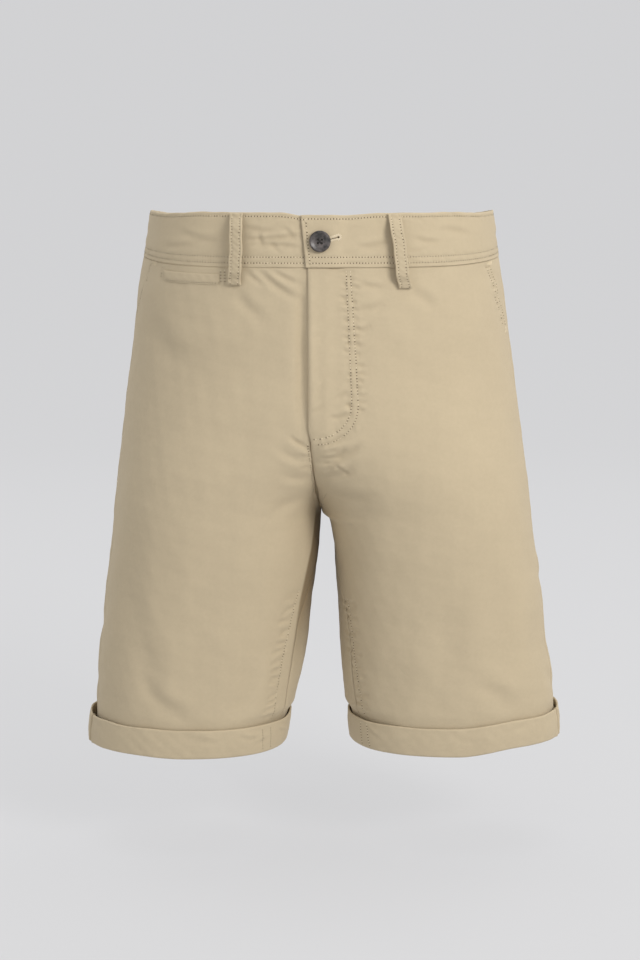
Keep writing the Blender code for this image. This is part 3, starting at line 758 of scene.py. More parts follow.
def leg_sheet(name, side, is_front):
    """One leg panel as a fine sheet on the form, with its creases pressed in."""
    rows, outs, runs, levels = [], [], [], leg_levels(LEG_STEP)
    shares = np.linspace(0.0, 1.0, LEG_COLUMNS + 1)
    for down in levels:
        lap = 0.0
        if is_front:
            start = cut_angle(side, down) if down < RISE else inseam(down)
            end = outseam(down)
            if side > 0:
                lap = 0.0030 * (1.0 - smooth(FLY_END - 0.016, FLY_END + 0.002, down))
            else:
                lap = 0.0070 * (1.0 - smooth(FLY_END - 0.052, FLY_END - 0.030, down))
            shares_here = shares + 0.18 * shares * (shares - 1.0)
            trims = (SEAM if down >= RISE else 0.0, SEAM)
        else:
            start = outseam(down)
            end = 360.0 - cut_angle(side, down) if down < RISE else 360.0 + inseam(down)
            shares_here = shares
            trims = (SEAM, SEAM if down >= RISE else 0.0)
        points = even(*run_round(side, down, start, end, lap), shares_here, *trims)
        place, out, run = section_row(side, down, points)
        if is_front and side > 0:
            lift = fly_lift(points[0], down)
            place = place + out * lift[:, None]
        if not is_front and down < RISE:
            place[:, 0] -= side * (SEAM + 0.0005) * np.exp(-(place[:, 0] / 0.004) ** 2)
        rows.append(place)
        outs.append(out)
        runs.append(run)
    places, out = np.concatenate(rows), np.concatenate(outs)
    runs = np.array(runs)
    from_side = runs - runs[:, -1:] if is_front else runs - runs[:, :1]
    data = {"u": from_side.ravel(), "v": np.repeat(levels, LEG_COLUMNS + 1)}
    ends = np.minimum(runs - runs[:, :1], runs[:, -1:] - runs).ravel()
    data["edge"] = np.minimum(ends, 0.01)
    near = np.full(len(places), 0.01)
    for face, stops in LEG_ROWS[name]:
        line, _ = line_on(face, stops)
        close, dist, _, _ = near_line(places, line, 0.010)
        near[close] = np.minimum(near[close], dist)
    data["row"] = near
    down = data["v"]
    rise = creased(places, FOLDS)
    rise += 0.00055 * ripple(places, 0.050, 11) + 0.00022 * ripple(places, 0.018, 12)
    rise += 0.00036 * ripple(places, 0.0065, 13) * np.exp(-(near / 0.0050) ** 2)
    rise -= (0.00075 if is_front else 0.00035) * np.exp(-(ends / 0.0016) ** 2)
    rise -= 0.00030 * np.exp(-(near / 0.0016) ** 2)
    settle = smooth(BAND_SIDE, BAND_SIDE + 0.006, down)
    settle *= 1.0 - smooth(CUFF_TOP - 0.012, CUFF_TOP - 0.002, down)
    hidden = smooth(CUFF_TOP - 0.012, CUFF_TOP, down)
    inside = 1.0 - smooth(0.030, 0.075, np.abs(places[:, 0]))
    rise = rise * (0.25 + 0.75 * settle) - (0.0006 + 0.0034 * inside) * hidden
    places = places + out * rise[:, None]
    data["raised"] = worn_at(rise)
    # Painted shade: a dark strip on the inner right leg below the crotch, where the other leg shades it.
    reach = np.abs(places[:, 0]) - np.interp(down, SECTIONS[:, 0], SECTIONS[:, 3])
    between = smooth(RISE - 0.010, RISE + 0.004, down) * (1.0 - smooth(0.325, 0.430, down))
    wide = np.interp(down, (RISE, 0.320, 0.345, 0.400), (0.0050, 0.0097, 0.0118, 0.0135))
    data["painted_shade"] = (1.0 - smooth(-0.0010, 0.0008, reach - wide)) * between * (1.0 if side < 0 else 0.0)
    shape = (len(levels), LEG_COLUMNS + 1, 3)
    outward = Vector(out.reshape(shape)[len(levels) // 3, LEG_COLUMNS // 2])
    return grid_sheet(name + "_cloth", places.reshape(shape), outward, leg_twill, data)


legs = {}
for name, side, is_front in (
    ("front_right", -1, True),
    ("front_left", 1, True),
    ("back_right", -1, False),
    ("back_left", 1, False),
):
    legs[name] = leg_sheet(name, side, is_front)
    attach(legs[name], "root")
    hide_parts(name)

# ---------------------------------------------------------------- leg stitching
# Tonal cotton thread, about ten stitches to the inch, in lock-stitched rows. Each stitch lies in
# the small dip that it pulls in the cloth, with a dark dot of painted shade for the needle hole at its end.
PITCH = 0.0026
thread_twist = material("tonal_thread", rough=0.75, shine=0.25, sheen=0.15)


def thread_colour():
    """Khaki thread, darker between its plies and a little uneven in its dye."""
    nodes, links = thread_twist.node_tree.nodes, thread_twist.node_tree.links
    coords = nodes.new("ShaderNodeTexCoord")
    dye = nodes.new("ShaderNodeTexNoise")
    dye.inputs["Scale"].default_value = 700.0
    links.new(coords.outputs["Object"], dye.inputs["Vector"])
    ramp = nodes.new("ShaderNodeValToRGB")
    ramp.color_ramp.elements[0].color = (0.50, 0.42, 0.285, 1.0)
    ramp.color_ramp.elements[1].color = (0.70, 0.60, 0.43, 1.0)
    links.new(dye.outputs["Fac"], ramp.inputs["Fac"])
    links.new(ramp.outputs["Color"], nodes["Principled BSDF"].inputs["Base Color"])
    ply = nodes.new("ShaderNodeBump")
    ply.inputs["Distance"].default_value = 0.0001
    links.new(dye.outputs["Fac"], ply.inputs["Height"])
    links.new(ply.outputs["Normal"], nodes["Principled BSDF"].inputs["Normal"])


thread_colour()
# Painted shade: a near-black matt colour for the shade inside needle holes and the buttonhole's slot.
hole_shade = material("hole_shade", base=(0.070, 0.050, 0.027, 1.0), rough=1.0, shine=0.0)


def dyed(name, dark, light):
    """The same thread in another dye."""
    mat = thread_twist.copy()
    mat.name = name
    ramp = [n for n in mat.node_tree.nodes if n.type == "VALTORGB"][0]
    ramp.color_ramp.elements[0].color = (*dark, 1.0)
    ramp.color_ramp.elements[1].color = (*light, 1.0)
    return mat


def stitch_mesh():
    """One stitch, along x, with a dark dot of painted shade for the needle hole at its end."""
    bm = bmesh.new()
    bmesh.ops.create_uvsphere(bm, u_segments=6, v_segments=5, radius=1.0)
    bmesh.ops.rotate(bm, verts=bm.verts, cent=(0, 0, 0), matrix=Matrix.Rotation(math.radians(90.0), 3, "Y"))
    bmesh.ops.scale(bm, vec=(0.00100, 0.00037, 0.00030), verts=bm.verts)
    made = bmesh.ops.create_icosphere(bm, subdivisions=1, radius=1.0)["verts"]
    bmesh.ops.scale(bm, vec=(0.00050, 0.00062, 0.00021), verts=made)
    bmesh.ops.translate(bm, vec=(PITCH / 2.0, 0.0, 0.00004), verts=made)
    for v in made:
        for f in v.link_faces:
            f.material_index = 1
    mesh = bpy.data.meshes.new("stitch")
    bm.to_mesh(mesh)
    bm.free()
    return mesh


def tree_of(ob):
    mesh = ob.data
    faces = [tuple(p.vertices) for p in mesh.polygons]
    return BVHTree.FromPolygons([v.co.copy() for v in mesh.vertices], faces)


def landed(trees, place, out, reach=0.014):
    """Where a point off the cloth comes down on it, and the cloth's normal there."""
    best = None
    for tree in trees:
        hit, normal, _, far = tree.ray_cast(Vector(place) + Vector(out) * reach, -Vector(out), 2.0 * reach)
        if hit is not None and (best is None or far < best[2]):
            best = (hit, normal, far)
    return best


def lay(bm, template, hit, normal, along, size=(1.0, 1.0, 1.0)):
    """Put a copy of a small mesh on the cloth, its x along a direction and its z out of the cloth."""
    z = normal.normalized()
    x = (along - z * along.dot(z)).normalized()
    y = z.cross(x)
    turn = Matrix((x, y, z)).transposed().to_4x4()
    move = Matrix.Translation(hit) @ turn @ Matrix.Diagonal((*size, 1.0))
    template.transform(move)
    bm.from_mesh(template)
    template.transform(move.inverted())


stitch = stitch_mesh()


def run_along(places):
    """Run lengths along a line of places."""
    return np.append(0.0, np.cumsum(np.linalg.norm(np.diff(places, axis=0), axis=1)))


def at_run(want, run, values):
    """The place or normal a run length along a line."""
    return np.array([np.interp(want, run, values[:, c]) for c in range(3)])


def sew(name, lines, trees, seed):
    """Rows of stitches along lines of (places, normals), laid on the cloth beneath them."""
    rng = random.Random(seed)
    bm = bmesh.new()
    for places, normals in lines:
        run = run_along(places)
        for at in np.arange(PITCH * 0.6, run[-1], PITCH):
            n = at_run(at, run, normals)
            found = landed(trees, at_run(at, run, places), n)
            if found is None:
                continue
            hit, normal, _ = found
            if normal.dot(Vector(n)) < 0:
                normal = -normal
            along = Vector(at_run(at + 0.0005, run, places) - at_run(at - 0.0005, run, places))
            along += normal.cross(along) * rng.uniform(-0.10, 0.10)
            size = (rng.uniform(0.92, 1.05), 1.0, rng.uniform(0.8, 1.1))
            lay(bm, stitch, hit - normal * 0.00003, normal, along, size)
    return add_mesh(name, bm, [thread_twist, hole_shade])


leg_trees = {name: tree_of(ob) for name, ob in legs.items()}
leg_lines = [line_on(face, stops) for rows in LEG_ROWS.values() for face, stops in rows]
leg_thread = sew("leg_stitching", leg_lines, list(leg_trees.values()), 21)
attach(leg_thread, "root")

# ================================================================ waistband
# A straight band of the same twill, folded along its top edge and topstitched. The left end laps
# over the right one at the front, and two rows of stitching hold its lower edge to the legs.
BAND = 0.0022
BAND_PROUD = 0.0006
BAND_LAP = {-1: (0.0100, 0.0100), 1: (0.0090, 0.0045)}  # at the band's top and foot
BAND_ROW_TOP = 0.0030
BAND_ROWS_LOW = (0.0316, 0.0362)
BAND_END_ROW = 0.0038   # from the left band's end to the row that closes it
BAND_COLUMNS = 230

band_twill = twill("band_twill", tuple(c * 0.99 for c in KHAKI), turned=True)

BAND_FOLDS = [
    # face,   across,  down,   across,  down,   bow,     width,  depth
    ("front", -0.0630, 0.0185, -0.0185, 0.0155, 0.0010, 0.0022, 0.0021),
    ("front", -0.0590, 0.0230, -0.0195, 0.0245, -0.0010, 0.0024, 0.0019),
    ("front", -0.0640, 0.0095, -0.0380, 0.0120, 0.0010, 0.0024, 0.0010),
    ("front", -0.0520, 0.0125, -0.0490, 0.0230, 0.0008, 0.0022, 0.0014),
    ("front", -0.0320, 0.0100, -0.0230, 0.0180, -0.0010, 0.0022, 0.0012),
    ("front", -0.0420, 0.0205, -0.0330, 0.0290, 0.0008, 0.0020, 0.0011),
    ("front", -0.1200, 0.0140, -0.0850, 0.0200, 0.0020, 0.0034, 0.0011),
    ("front", -0.1350, 0.0260, -0.1020, 0.0220, 0.0015, 0.0030, 0.0010),
    ("front", 0.0300, 0.0250, 0.0560, 0.0200, 0.0015, 0.0030, 0.0014),
    ("front", 0.0180, 0.0290, 0.0330, 0.0270, 0.0010, 0.0024, 0.0006),
    ("front", 0.0780, 0.0180, 0.1000, 0.0210, 0.0010, 0.0026, 0.0014),
    ("front", 0.0980, 0.0120, 0.1280, 0.0170, -0.0015, 0.0030, 0.0011),
    ("front", 0.0740, 0.0280, 0.0900, 0.0250, 0.0010, 0.0022, 0.0007),
    ("left", -0.0300, 0.0200, 0.0200, 0.0180, 0.0020, 0.0034, 0.0007),
    ("right", -0.0250, 0.0180, 0.0250, 0.0210, 0.0020, 0.0034, 0.0007),
    ("back", 0.0150, 0.0210, 0.0700, 0.0180, 0.0020, 0.0032, 0.0009),
    ("back", -0.0150, 0.0180, -0.0650, 0.0220, 0.0020, 0.0032, 0.0009),
    ("back", 0.0700, 0.0260, 0.1100, 0.0200, -0.0015, 0.0030, 0.0008),
    ("back", -0.0720, 0.0150, -0.1180, 0.0220, -0.0015, 0.0030, 0.0008),
]


def lap_at(side, down):
    top, foot = BAND_LAP[side]
    return top + (foot - top) * down / BAND_SIDE


def crown(side, place, down):
    """How far the relaxed top edge of the band rises above its level in front."""
    x = place[:, 0]
    if side < 0:
        high = 0.0026 * (1.0 - smooth(0.100, 0.140, np.abs(x))) - 0.0029 * smooth(-0.036, -0.012, x)
    else:
        high = (0.0004 + 0.0018 * smooth(0.020, 0.050, x)) * (1.0 - smooth(0.110, 0.145, x))
    return high * smooth(0.02, 0.08, -place[:, 1]) * (1.0 - smooth(0.0, 0.030, down))


def band_lift(x):
    return (BAND + GAP + 0.0004) * (1.0 - smooth(0.016, 0.030, x))


def band_profile():
    """Round the band's section: level, and share of its thickness, from its inner foot over the top."""
    half = BAND / 2.0
    found = [(d, 0.0) for d in np.linspace(BAND_SIDE - 0.0006, half, 12)]
    for k in range(1, 8):
        a = math.pi * k / 8
        found.append((half - half * math.sin(a), 0.5 - 0.5 * math.cos(a)))
    found += [(d, 1.0) for d in np.linspace(half, BAND_SIDE - 0.0006, 32)]
    found += [(BAND_SIDE - 0.0002, 0.92), (BAND_SIDE, 0.75), (BAND_SIDE, 0.25), (BAND_SIDE - 0.0002, 0.08)]
    found.append((BAND_SIDE - 0.0006, 0.0))
    return found


def closed_sheet(name, stack, mat, data):
    """A folded strip: a grid whose last row meets its first, with its ends filled if they are open."""
    ob = grid_sheet(name, stack, Vector((0, 0, 1)), mat, data, thickness=0.0)
    bm = bmesh.new()
    bm.from_mesh(ob.data)
    bmesh.ops.remove_doubles(bm, verts=bm.verts, dist=2e-6)
    rim = [e for e in bm.edges if len(e.link_faces) == 1]
    if rim:
        bmesh.ops.holes_fill(bm, edges=rim, sides=0)
    bmesh.ops.recalc_face_normals(bm, faces=bm.faces)
    bm.to_mesh(ob.data)
    bm.free()
    return ob


def band_sheet(name, side):
    shares = np.append(np.linspace(0.0, 0.0046, 5), np.linspace(0.0075, 1.0, BAND_COLUMNS))
    stack, outs, downs, thick, runs = [], [], [], [], []
    for down, share in band_profile():
        points = even(*run_round(side, down, 90.0, 270.0, lap_at(side, down)), shares, 0.0, 0.0)
        place, out, run = section_row(side, down, points)
        place[:, 2] += crown(side, place, down)
        lift = np.where(points[1] < 0, band_lift(points[0]), 0.0) if side > 0 else np.zeros(len(run))
        roll = 1.0 - np.sqrt(1.0 - np.clip(1.0 - run / (BAND / 2.0), 0.0, 1.0) ** 2)
        across = 0.5 + (share - 0.5) * (1.0 - roll)
        stack.append(place + out * (lift + BAND_PROUD - BAND * (1.0 - across))[:, None])
        outs.append(out)
        downs.append(np.full(len(run), down))
        thick.append(np.full(len(run), share))
        runs.append(run)
    places, out = np.concatenate(stack), np.concatenate(outs)
    down, share, run = np.concatenate(downs), np.concatenate(thick), np.concatenate(runs)
    near = np.abs(down - BAND_ROW_TOP)
    for row in BAND_ROWS_LOW:
        near = np.minimum(near, np.abs(down - row))
    if side > 0:
        near = np.minimum(near, np.abs(run - BAND_END_ROW))
    near = np.where(share < 0.5, 0.01, near)
    rise = creased(places, BAND_FOLDS) + 0.00030 * ripple(places, 0.030, 31)
    rise += 0.00034 * ripple(places, 0.0062, 32) * np.exp(-(near / 0.0045) ** 2)
    rise -= 0.00032 * np.exp(-(near / 0.0011) ** 2)
    rise *= smooth(0.0, 0.0012, down) * smooth(0.0, 0.0010, BAND_SIDE - down)
    places = places + out * rise[:, None]
    places[:, 2] += 0.00028 * ripple(places, 0.012, 33) * (1.0 - smooth(0.0, 0.004, down))
    columns = len(shares)
    data = {
        "u": run, "v": down + 0.05 * (share < 0.5), "row": np.minimum(near, 0.01),
        "edge": np.minimum(np.minimum(down, BAND_SIDE - down), run),
        "raised": worn_at(rise),
    }
    return closed_sheet(name, places.reshape(-1, columns, 3), band_twill, data)


bands = {}
for name, side in (("waistband_right", -1), ("waistband_left", 1)):
    bands[name] = band_sheet(name + "_cloth", side)
    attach(bands[name], "root")
    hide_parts(name)

band_trees = {name: tree_of(ob) for name, ob in bands.items()}


def band_line(side, down, first, last=1.0):
    """A row of stitching along the band at one level, with its normals."""
    run = run_round(side, down, 90.0, 270.0, lap_at(side, down))
    place, out, _ = section_row(side, down, even(*run, np.linspace(first, last, 150), 0.0, 0.0))
    place[:, 2] += crown(side, place, down)
    return place, out


band_lines = [band_line(1, d, 0.008) for d in (BAND_ROW_TOP, *BAND_ROWS_LOW)]
band_lines += [band_line(-1, d, 0.030) for d in (BAND_ROW_TOP, *BAND_ROWS_LOW)]
end_rows = [band_line(1, d, 0.0) for d in np.linspace(0.0035, BAND_SIDE - 0.0025, 12)]
end_places = np.array([at_run(BAND_END_ROW, run_along(places), places) for places, _ in end_rows])
band_lines.append((end_places, np.array([out[0] for _, out in end_rows])))
band_thread = sew("waistband_stitching", band_lines, list(band_trees.values()), 22)
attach(band_thread, "root")

# ================================================================ turned-up cuffs
# Each leg end is folded up twice to the outside and pressed, then caught at the seams. The fold
# stands a little off the leg at the side seam, where the cloth is thickest.
CUFF_CLOTH = 0.0019
CUFF_AWAY = {-1: 0.0036, 1: 0.0014}     # how far each cuff stands off at its side seam
CUFF_STATIONS = 480
CUFF_TUCK = 0.0034      # how far each cuff is drawn in on the inside of the leg
SLIT_ANGLE = 163.0      # where each cuff parts at its side seam
cuff_twill = twill("cuff_twill", tuple(c * 0.985 for c in KHAKI), turned=True)

CUFF_FOLDS = [
    # face,   across,  down,   across,  down,   bow,     width,  depth
    ("front", -0.0760, 0.4640, -0.0540, 0.4700, 0.0010, 0.0026, 0.0014),
    ("front", -0.0620, 0.4740, -0.0480, 0.4700, 0.0010, 0.0022, 0.0013),
    ("front", -0.1180, 0.4630, -0.0900, 0.4680, 0.0015, 0.0034, 0.0011),
    ("front", -0.0400, 0.4640, -0.0330, 0.4720, 0.0008, 0.0020, 0.0012),
    ("front", -0.1600, 0.4730, -0.1350, 0.4640, 0.0015, 0.0040, 0.0006),
    ("front", 0.0420, 0.4640, 0.0560, 0.4720, 0.0010, 0.0024, 0.0008),
    ("front", 0.0640, 0.4740, 0.0860, 0.4680, 0.0010, 0.0030, 0.0006),
    ("front", 0.1200, 0.4640, 0.1420, 0.4720, 0.0015, 0.0036, 0.0007),
    ("front", 0.1650, 0.4660, 0.1850, 0.4610, 0.0012, 0.0030, 0.0008),
    ("back", 0.0900, 0.4640, 0.1300, 0.4720, 0.0015, 0.0036, 0.0008),
    ("back", -0.0900, 0.4720, -0.1300, 0.4640, 0.0015, 0.0036, 0.0008),
    ("left", 0.0100, 0.4620, 0.0300, 0.4720, 0.0010, 0.0030, 0.0007),
    ("right", 0.0050, 0.4700, 0.0300, 0.4630, 0.0010, 0.0030, 0.0007),
]


def station(side, down, angle):
    """A place on a leg's section, and the way out of the cloth there."""
    x, y = on_lobe(side, down, np.array([angle - 0.5, angle, angle + 0.5]))
    size = math.hypot(x[2] - x[0], y[2] - y[0])
    z = -down - float(dip(x[1], y[1], down, side))
    out = np.array([side * (y[2] - y[0]) / size, -side * (x[2] - x[0]) / size, 0.0])
    return np.array([x[1], y[1], z]), out


def cuff_profile():
    """Round the cuff's section: share of its height from the top, and offset, inner wall first."""
    t = CUFF_CLOTH
    found = [(f, 0.0) for f in np.linspace(0.93, 0.03, 9)]
    for k in range(1, 7):
        a = math.pi * k / 7
        found.append((0.03 - 0.045 * math.sin(a), t * (0.5 - 0.5 * math.cos(a))))
    for f in np.linspace(0.03, 0.92, 24):
        found.append((f, t + 0.0005 * math.sin(math.pi * f) ** 2))
    for k in range(1, 6):
        a = math.radians(90.0 * k / 5)
        found.append((0.92 + 0.08 * math.sin(a), t - 0.0016 * (1.0 - math.cos(a))))
    found += [(1.0, -0.0018), (0.995, -0.0026), (0.93, -0.0028), (0.93, 0.0)]
    return found


def cuff_sheet(name, side):
    close = on_lobe(side, HEM, np.linspace(0.0, 360.0, 721))
    run = np.append(0.0, np.cumsum(np.hypot(np.diff(close[0]), np.diff(close[1]))))
    want = run[-1] * np.arange(CUFF_STATIONS + 1) / CUFF_STATIONS
    angles = np.interp(want, run, np.linspace(0.0, 360.0, 721))
    profile = cuff_profile()
    stack = np.zeros((len(profile), CUFF_STATIONS + 1, 3))
    outs = np.zeros_like(stack)
    for n, angle in enumerate(angles):
        near = math.exp(-((((angle + 360.0) % 360.0) - 180.0) / 30.0) ** 2)
        wide = CUFF_AWAY[side]
        tucked = CUFF_TUCK * math.exp(-((((angle + 180.0) % 360.0) - 180.0) / 38.0) ** 2)
        high, low = 0.0004 + wide * near, 0.0007 + (wide + 0.0012) * near
        top, top_out = station(side, CUFF_TOP, angle)
        foot, foot_out = station(side, HEM, angle)
        for k, (f, off) in enumerate(profile):
            out = top_out + (foot_out - top_out) * f
            out /= np.linalg.norm(out)
            stands = GAP + high + (low - high) * f - tucked * (1.0 - 0.5 * f)
            if off < -0.001:
                stands = min(stands, 0.0022)
            stack[k, n] = top + (foot - top) * f + out * (stands + off)
            outs[k, n] = out
    places, out = stack.reshape(-1, 3), outs.reshape(-1, 3)
    share = np.repeat([f for f, _ in profile], CUFF_STATIONS + 1)
    offset = np.repeat([o for _, o in profile], CUFF_STATIONS + 1)
    shown = (offset > CUFF_CLOTH * 0.6).astype(float)
    height = HEM - CUFF_TOP
    around = np.tile(want, len(profile))
    near = np.full(len(places), 0.01)
    for line, _ in CUFF_LINES[side]:
        close_to, dist, _, _ = near_line(places, line, 0.008)
        near[close_to] = np.minimum(near[close_to], dist)
    seam = np.abs(around - np.interp(SLIT_ANGLE, angles, want))
    rise = creased(places, CUFF_FOLDS)
    rise = rise + 0.00045 * ripple(places, 0.034, 41) + 0.00018 * ripple(places, 0.011, 42)
    rise -= 0.00030 * np.exp(-(near / 0.0012) ** 2) + 0.0032 * np.exp(-(seam / 0.0014) ** 2)
    rise += 0.0008 * np.exp(-((seam - 0.0038) / 0.0022) ** 2)
    rise *= np.where(shown > 0, 1.0, 0.35)
    places = places + out * rise[:, None]
    places[:, 2] += 0.0005 * ripple(places, 0.040, 43) * (1.0 - smooth(0.0, 0.4, share))
    # Painted shade: the slit at each cuff's side seam is painted dark for the shade in the gap.
    data = {
        "u": around, "v": share * height + 0.05 * (1.0 - shown), "row": np.where(shown > 0, near, 0.01),
        "edge": np.minimum(np.abs(share * height), 0.01) + 0.0003, "raised": worn_at(rise) * shown,
        "painted_shade": 1.1 * np.exp(-(seam / 0.0012) ** 2),
    }
    return closed_sheet(name, places.reshape(len(profile), CUFF_STATIONS + 1, 3), cuff_twill, data)


CUFF_LINES = {
    -1: [line_on("front", [(-0.0535, 0.4590), (-0.0540, 0.4805)]),
         line_on("front", [(-0.0465, 0.4590), (-0.0475, 0.4805)])],
    1: [line_on("front", [(0.0365, 0.4595), (0.0390, 0.4810)]),
        line_on("front", [(0.0420, 0.4595), (0.0460, 0.4815)])],
}
cuffs = {}
for name, side in (("cuff_right", -1), ("cuff_left", 1)):
    cuffs[name] = cuff_sheet(name + "_cloth", side)
    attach(cuffs[name], "root")
    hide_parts(name)
cuff_trees = [tree_of(ob) for ob in cuffs.values()]
cuff_thread = sew("cuff_stitching", CUFF_LINES[-1] + CUFF_LINES[1], cuff_trees, 23)
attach(cuff_thread, "root")

# ================================================================ belt loops
# Five strips of twill, folded in three and stitched down both sides. Each is turned under and sewn
# at its top and foot, and bows off the band between them, where a belt goes.
LOOP_WIDTH = 0.0115
LOOP_CLOTH = 0.0016
LOOP_BOW = 0.0060
LOOP_INSET = 0.0024
LOOPS = [
    # name,             face,    x_top,   x_foot,  top,     foot
    ("loop_front_right", "front", -0.0700, -0.0720, -0.0018, 0.0552),
    ("loop_front_left", "front", 0.0610, 0.0700, -0.0014, 0.0580),
    ("loop_back_right", "back", -0.0980, -0.0990, 0.0008, 0.0560),
    ("loop_back_left", "back", 0.0980, 0.0990, 0.0008, 0.0560),
    ("loop_centre_back", "back", 0.0001, 0.0001, 0.0008, 0.0560),
]
loop_twill = twill("loop_twill", tuple(c * 0.96 for c in KHAKI), turned=True)


def loop_section():
    """Round a strip's section: place across it, and share of its thickness."""
    half, r = LOOP_WIDTH / 2.0, LOOP_CLOTH / 2.0
    found = [(x, 0.0) for x in np.linspace(-half + r, half - r, 7)]
    for k in range(1, 6):
        a = math.pi * k / 6
        found.append((half - r + r * math.sin(a), 0.5 - 0.5 * math.cos(a)))
    found += [(x, 1.0) for x in np.linspace(half - r, -half + r, 13)]
    for k in range(1, 6):
        a = math.pi * k / 6
        found.append((-half + r - r * math.sin(a), 0.5 + 0.5 * math.cos(a)))
    found.append(found[0])
    return found


def loop_sheet(name, face, x_top, x_foot, top, foot, seed):
    stack, data_u, data_v, near, lines = [], [], [], [], ([], [], [])
    section = loop_section()
    for f in np.append(np.linspace(0.0, 0.02, 3), np.append(np.linspace(0.035, 0.97, 64), [0.985, 1.0])):
        down = top + (foot - top) * f
        place, out = spot(face, x_top + (x_foot - x_top) * f, down)
        sideways = np.cross(out, (0.0, 0.0, 1.0))
        away = np.array([0.0, math.copysign(1.0, out[1]), 0.0])
        ends = smooth(0.0, 0.22, f) * (1.0 - smooth(0.78, 1.0, f))
        rest = BAND_PROUD * (1.0 - smooth(0.66, 0.85, f)) + GAP + 0.0004
        swell = 1.0 + 0.45 * (1.0 - smooth(0.02, 0.06, f)) + 0.55 * smooth(0.90, 0.94, f)
        close = 1.0 - 0.75 * (1.0 - math.sqrt(1.0 - max(0.0, 1.0 - min(f, 1.0 - f) / 0.02) ** 2))
        wander = 0.00035 * math.sin(f * 9.0 + seed) + 0.0002 * math.sin(f * 23.0 + 2.0 * seed)
        bowed = place + away * LOOP_BOW * ends
        row = []
        for across, share in section:
            stitched = min(abs(abs(across) - (LOOP_WIDTH / 2.0 - LOOP_INSET)), 0.01)
            thick = LOOP_CLOTH * swell * (0.5 + (share - 0.5) * close)
            if share > 0.9:
                thick -= 0.00030 * math.exp(-(stitched / 0.0008) ** 2)
                thick += 0.00012 * math.sin(f * 70.0 + across * 900.0 + seed)
            row.append(bowed + out * (rest + thick) + sideways * (across + wander))
            near.append(stitched if share > 0.9 else 0.01)
            data_u.append(across)
            data_v.append(down)
        stack.append(row)
        if 0.03 < f < 0.985:
            for k, sign in enumerate((-1.0, 1.0)):
                sewn = sideways * (sign * (LOOP_WIDTH / 2.0 - LOOP_INSET) + wander)
                lines[k].append(bowed + out * (rest + LOOP_CLOTH) + sewn)
            lines[2].append(out)
    stack = np.array(stack)
    edge = np.minimum(0.01, np.maximum(0.0, LOOP_WIDTH / 2.0 - np.abs(np.array(data_u))))
    data = {"u": np.array(data_u), "v": np.array(data_v), "row": np.array(near)}
    data.update(edge=edge, raised=edge * 0.0)
    ob = closed_sheet(name + "_cloth", stack, loop_twill, data)
    out = np.array(lines[2])
    return ob, [(np.array(lines[0]), out), (np.array(lines[1]), out)]


loop_lines, loop_trees = [], []
for seed, (name, face, x_top, x_foot, top, foot) in enumerate(LOOPS):
    ob, found = loop_sheet(name, face, x_top, x_foot, top, foot, seed)
    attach(ob, "root")
    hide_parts(name)
    loop_lines += found
    loop_trees.append(tree_of(ob))
loop_thread = sew("belt_loop_stitching", loop_lines, loop_trees, 24)
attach(loop_thread, "root")

# ================================================================ coin pocket
# A narrow welt of twill closes the coin pocket on the right front. It is folded along its upper
# edge, which is the pocket's mouth, and sewn flat along its foot and ends.
WELT_INNER = -0.0855
WELT_OUTER = -0.1352
WELT_HEIGHT = 0.0095
WELT_DOWN = 0.0457
WELT_CLOTH = 0.0009
WELT_ROW = 0.82         # share of its height down to the row that sews its foot


def welt_sheet():
    stack, u, v, near = [], [], [], []
    section = [(1.0, 0.0), (0.6, 0.0), (0.2, 0.0), (0.04, 0.1), (0.0, 0.4), (0.0, 0.75), (0.03, 0.95)]
    section += [(f, 1.0 - 0.75 * smooth(0.45, 1.0, f)) for f in np.linspace(0.08, 0.97, 12)]
    section += [(1.0, 0.12), (1.0, 0.0)]
    for f in np.linspace(0.0, 1.0, 60):
        row = []
        for drop, share in section:
            close = math.sqrt(1.0 - max(0.0, 1.0 - min(f, 1.0 - f) / 0.02) ** 2)
            down = WELT_DOWN + WELT_HEIGHT * (drop * (1.0 - 0.12 * smooth(0.94, 1.0, f)))
            place, out = spot("front", WELT_INNER + (WELT_OUTER - WELT_INNER) * f, down)
            thick = WELT_CLOTH * (0.15 + 0.85 * share * close)
            row.append(place + out * (GAP + thick + 0.00010 * math.sin(f * 40.0 + drop * 5.0)))
            u.append(f * (WELT_OUTER - WELT_INNER))
            v.append(down)
            near.append(abs(drop - WELT_ROW) * WELT_HEIGHT if share > 0.05 else 0.01)
        stack.append(row)
    stack = np.array(stack)
    edge = np.minimum(0.01, np.maximum(0.0, np.array(v) - WELT_DOWN))
    data = {"u": np.array(u), "v": np.array(v), "row": np.array(near), "edge": edge, "raised": edge * 0.0}
    return closed_sheet("coin_welt_cloth", stack, leg_twill, data)


welt = welt_sheet()
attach(welt, "root")
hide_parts("coin_welt")
welt_row = line_on("front", [(WELT_OUTER + 0.0012, WELT_DOWN + WELT_HEIGHT * WELT_ROW),
                             (WELT_INNER - 0.0012, WELT_DOWN + WELT_HEIGHT * WELT_ROW)])
welt_thread = sew("coin_welt_stitching", [welt_row], [tree_of(welt)], 25)
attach(welt_thread, "root")

# ================================================================ button and buttonhole
# A 28-line four-hole button, moulded to look like dark horn and turned with a raised rim. It is sewn
# to the right band end, and comes up through a keyhole buttonhole worked in tonal thread.
horn = material("dark_horn", rough=0.38, shine=0.5)


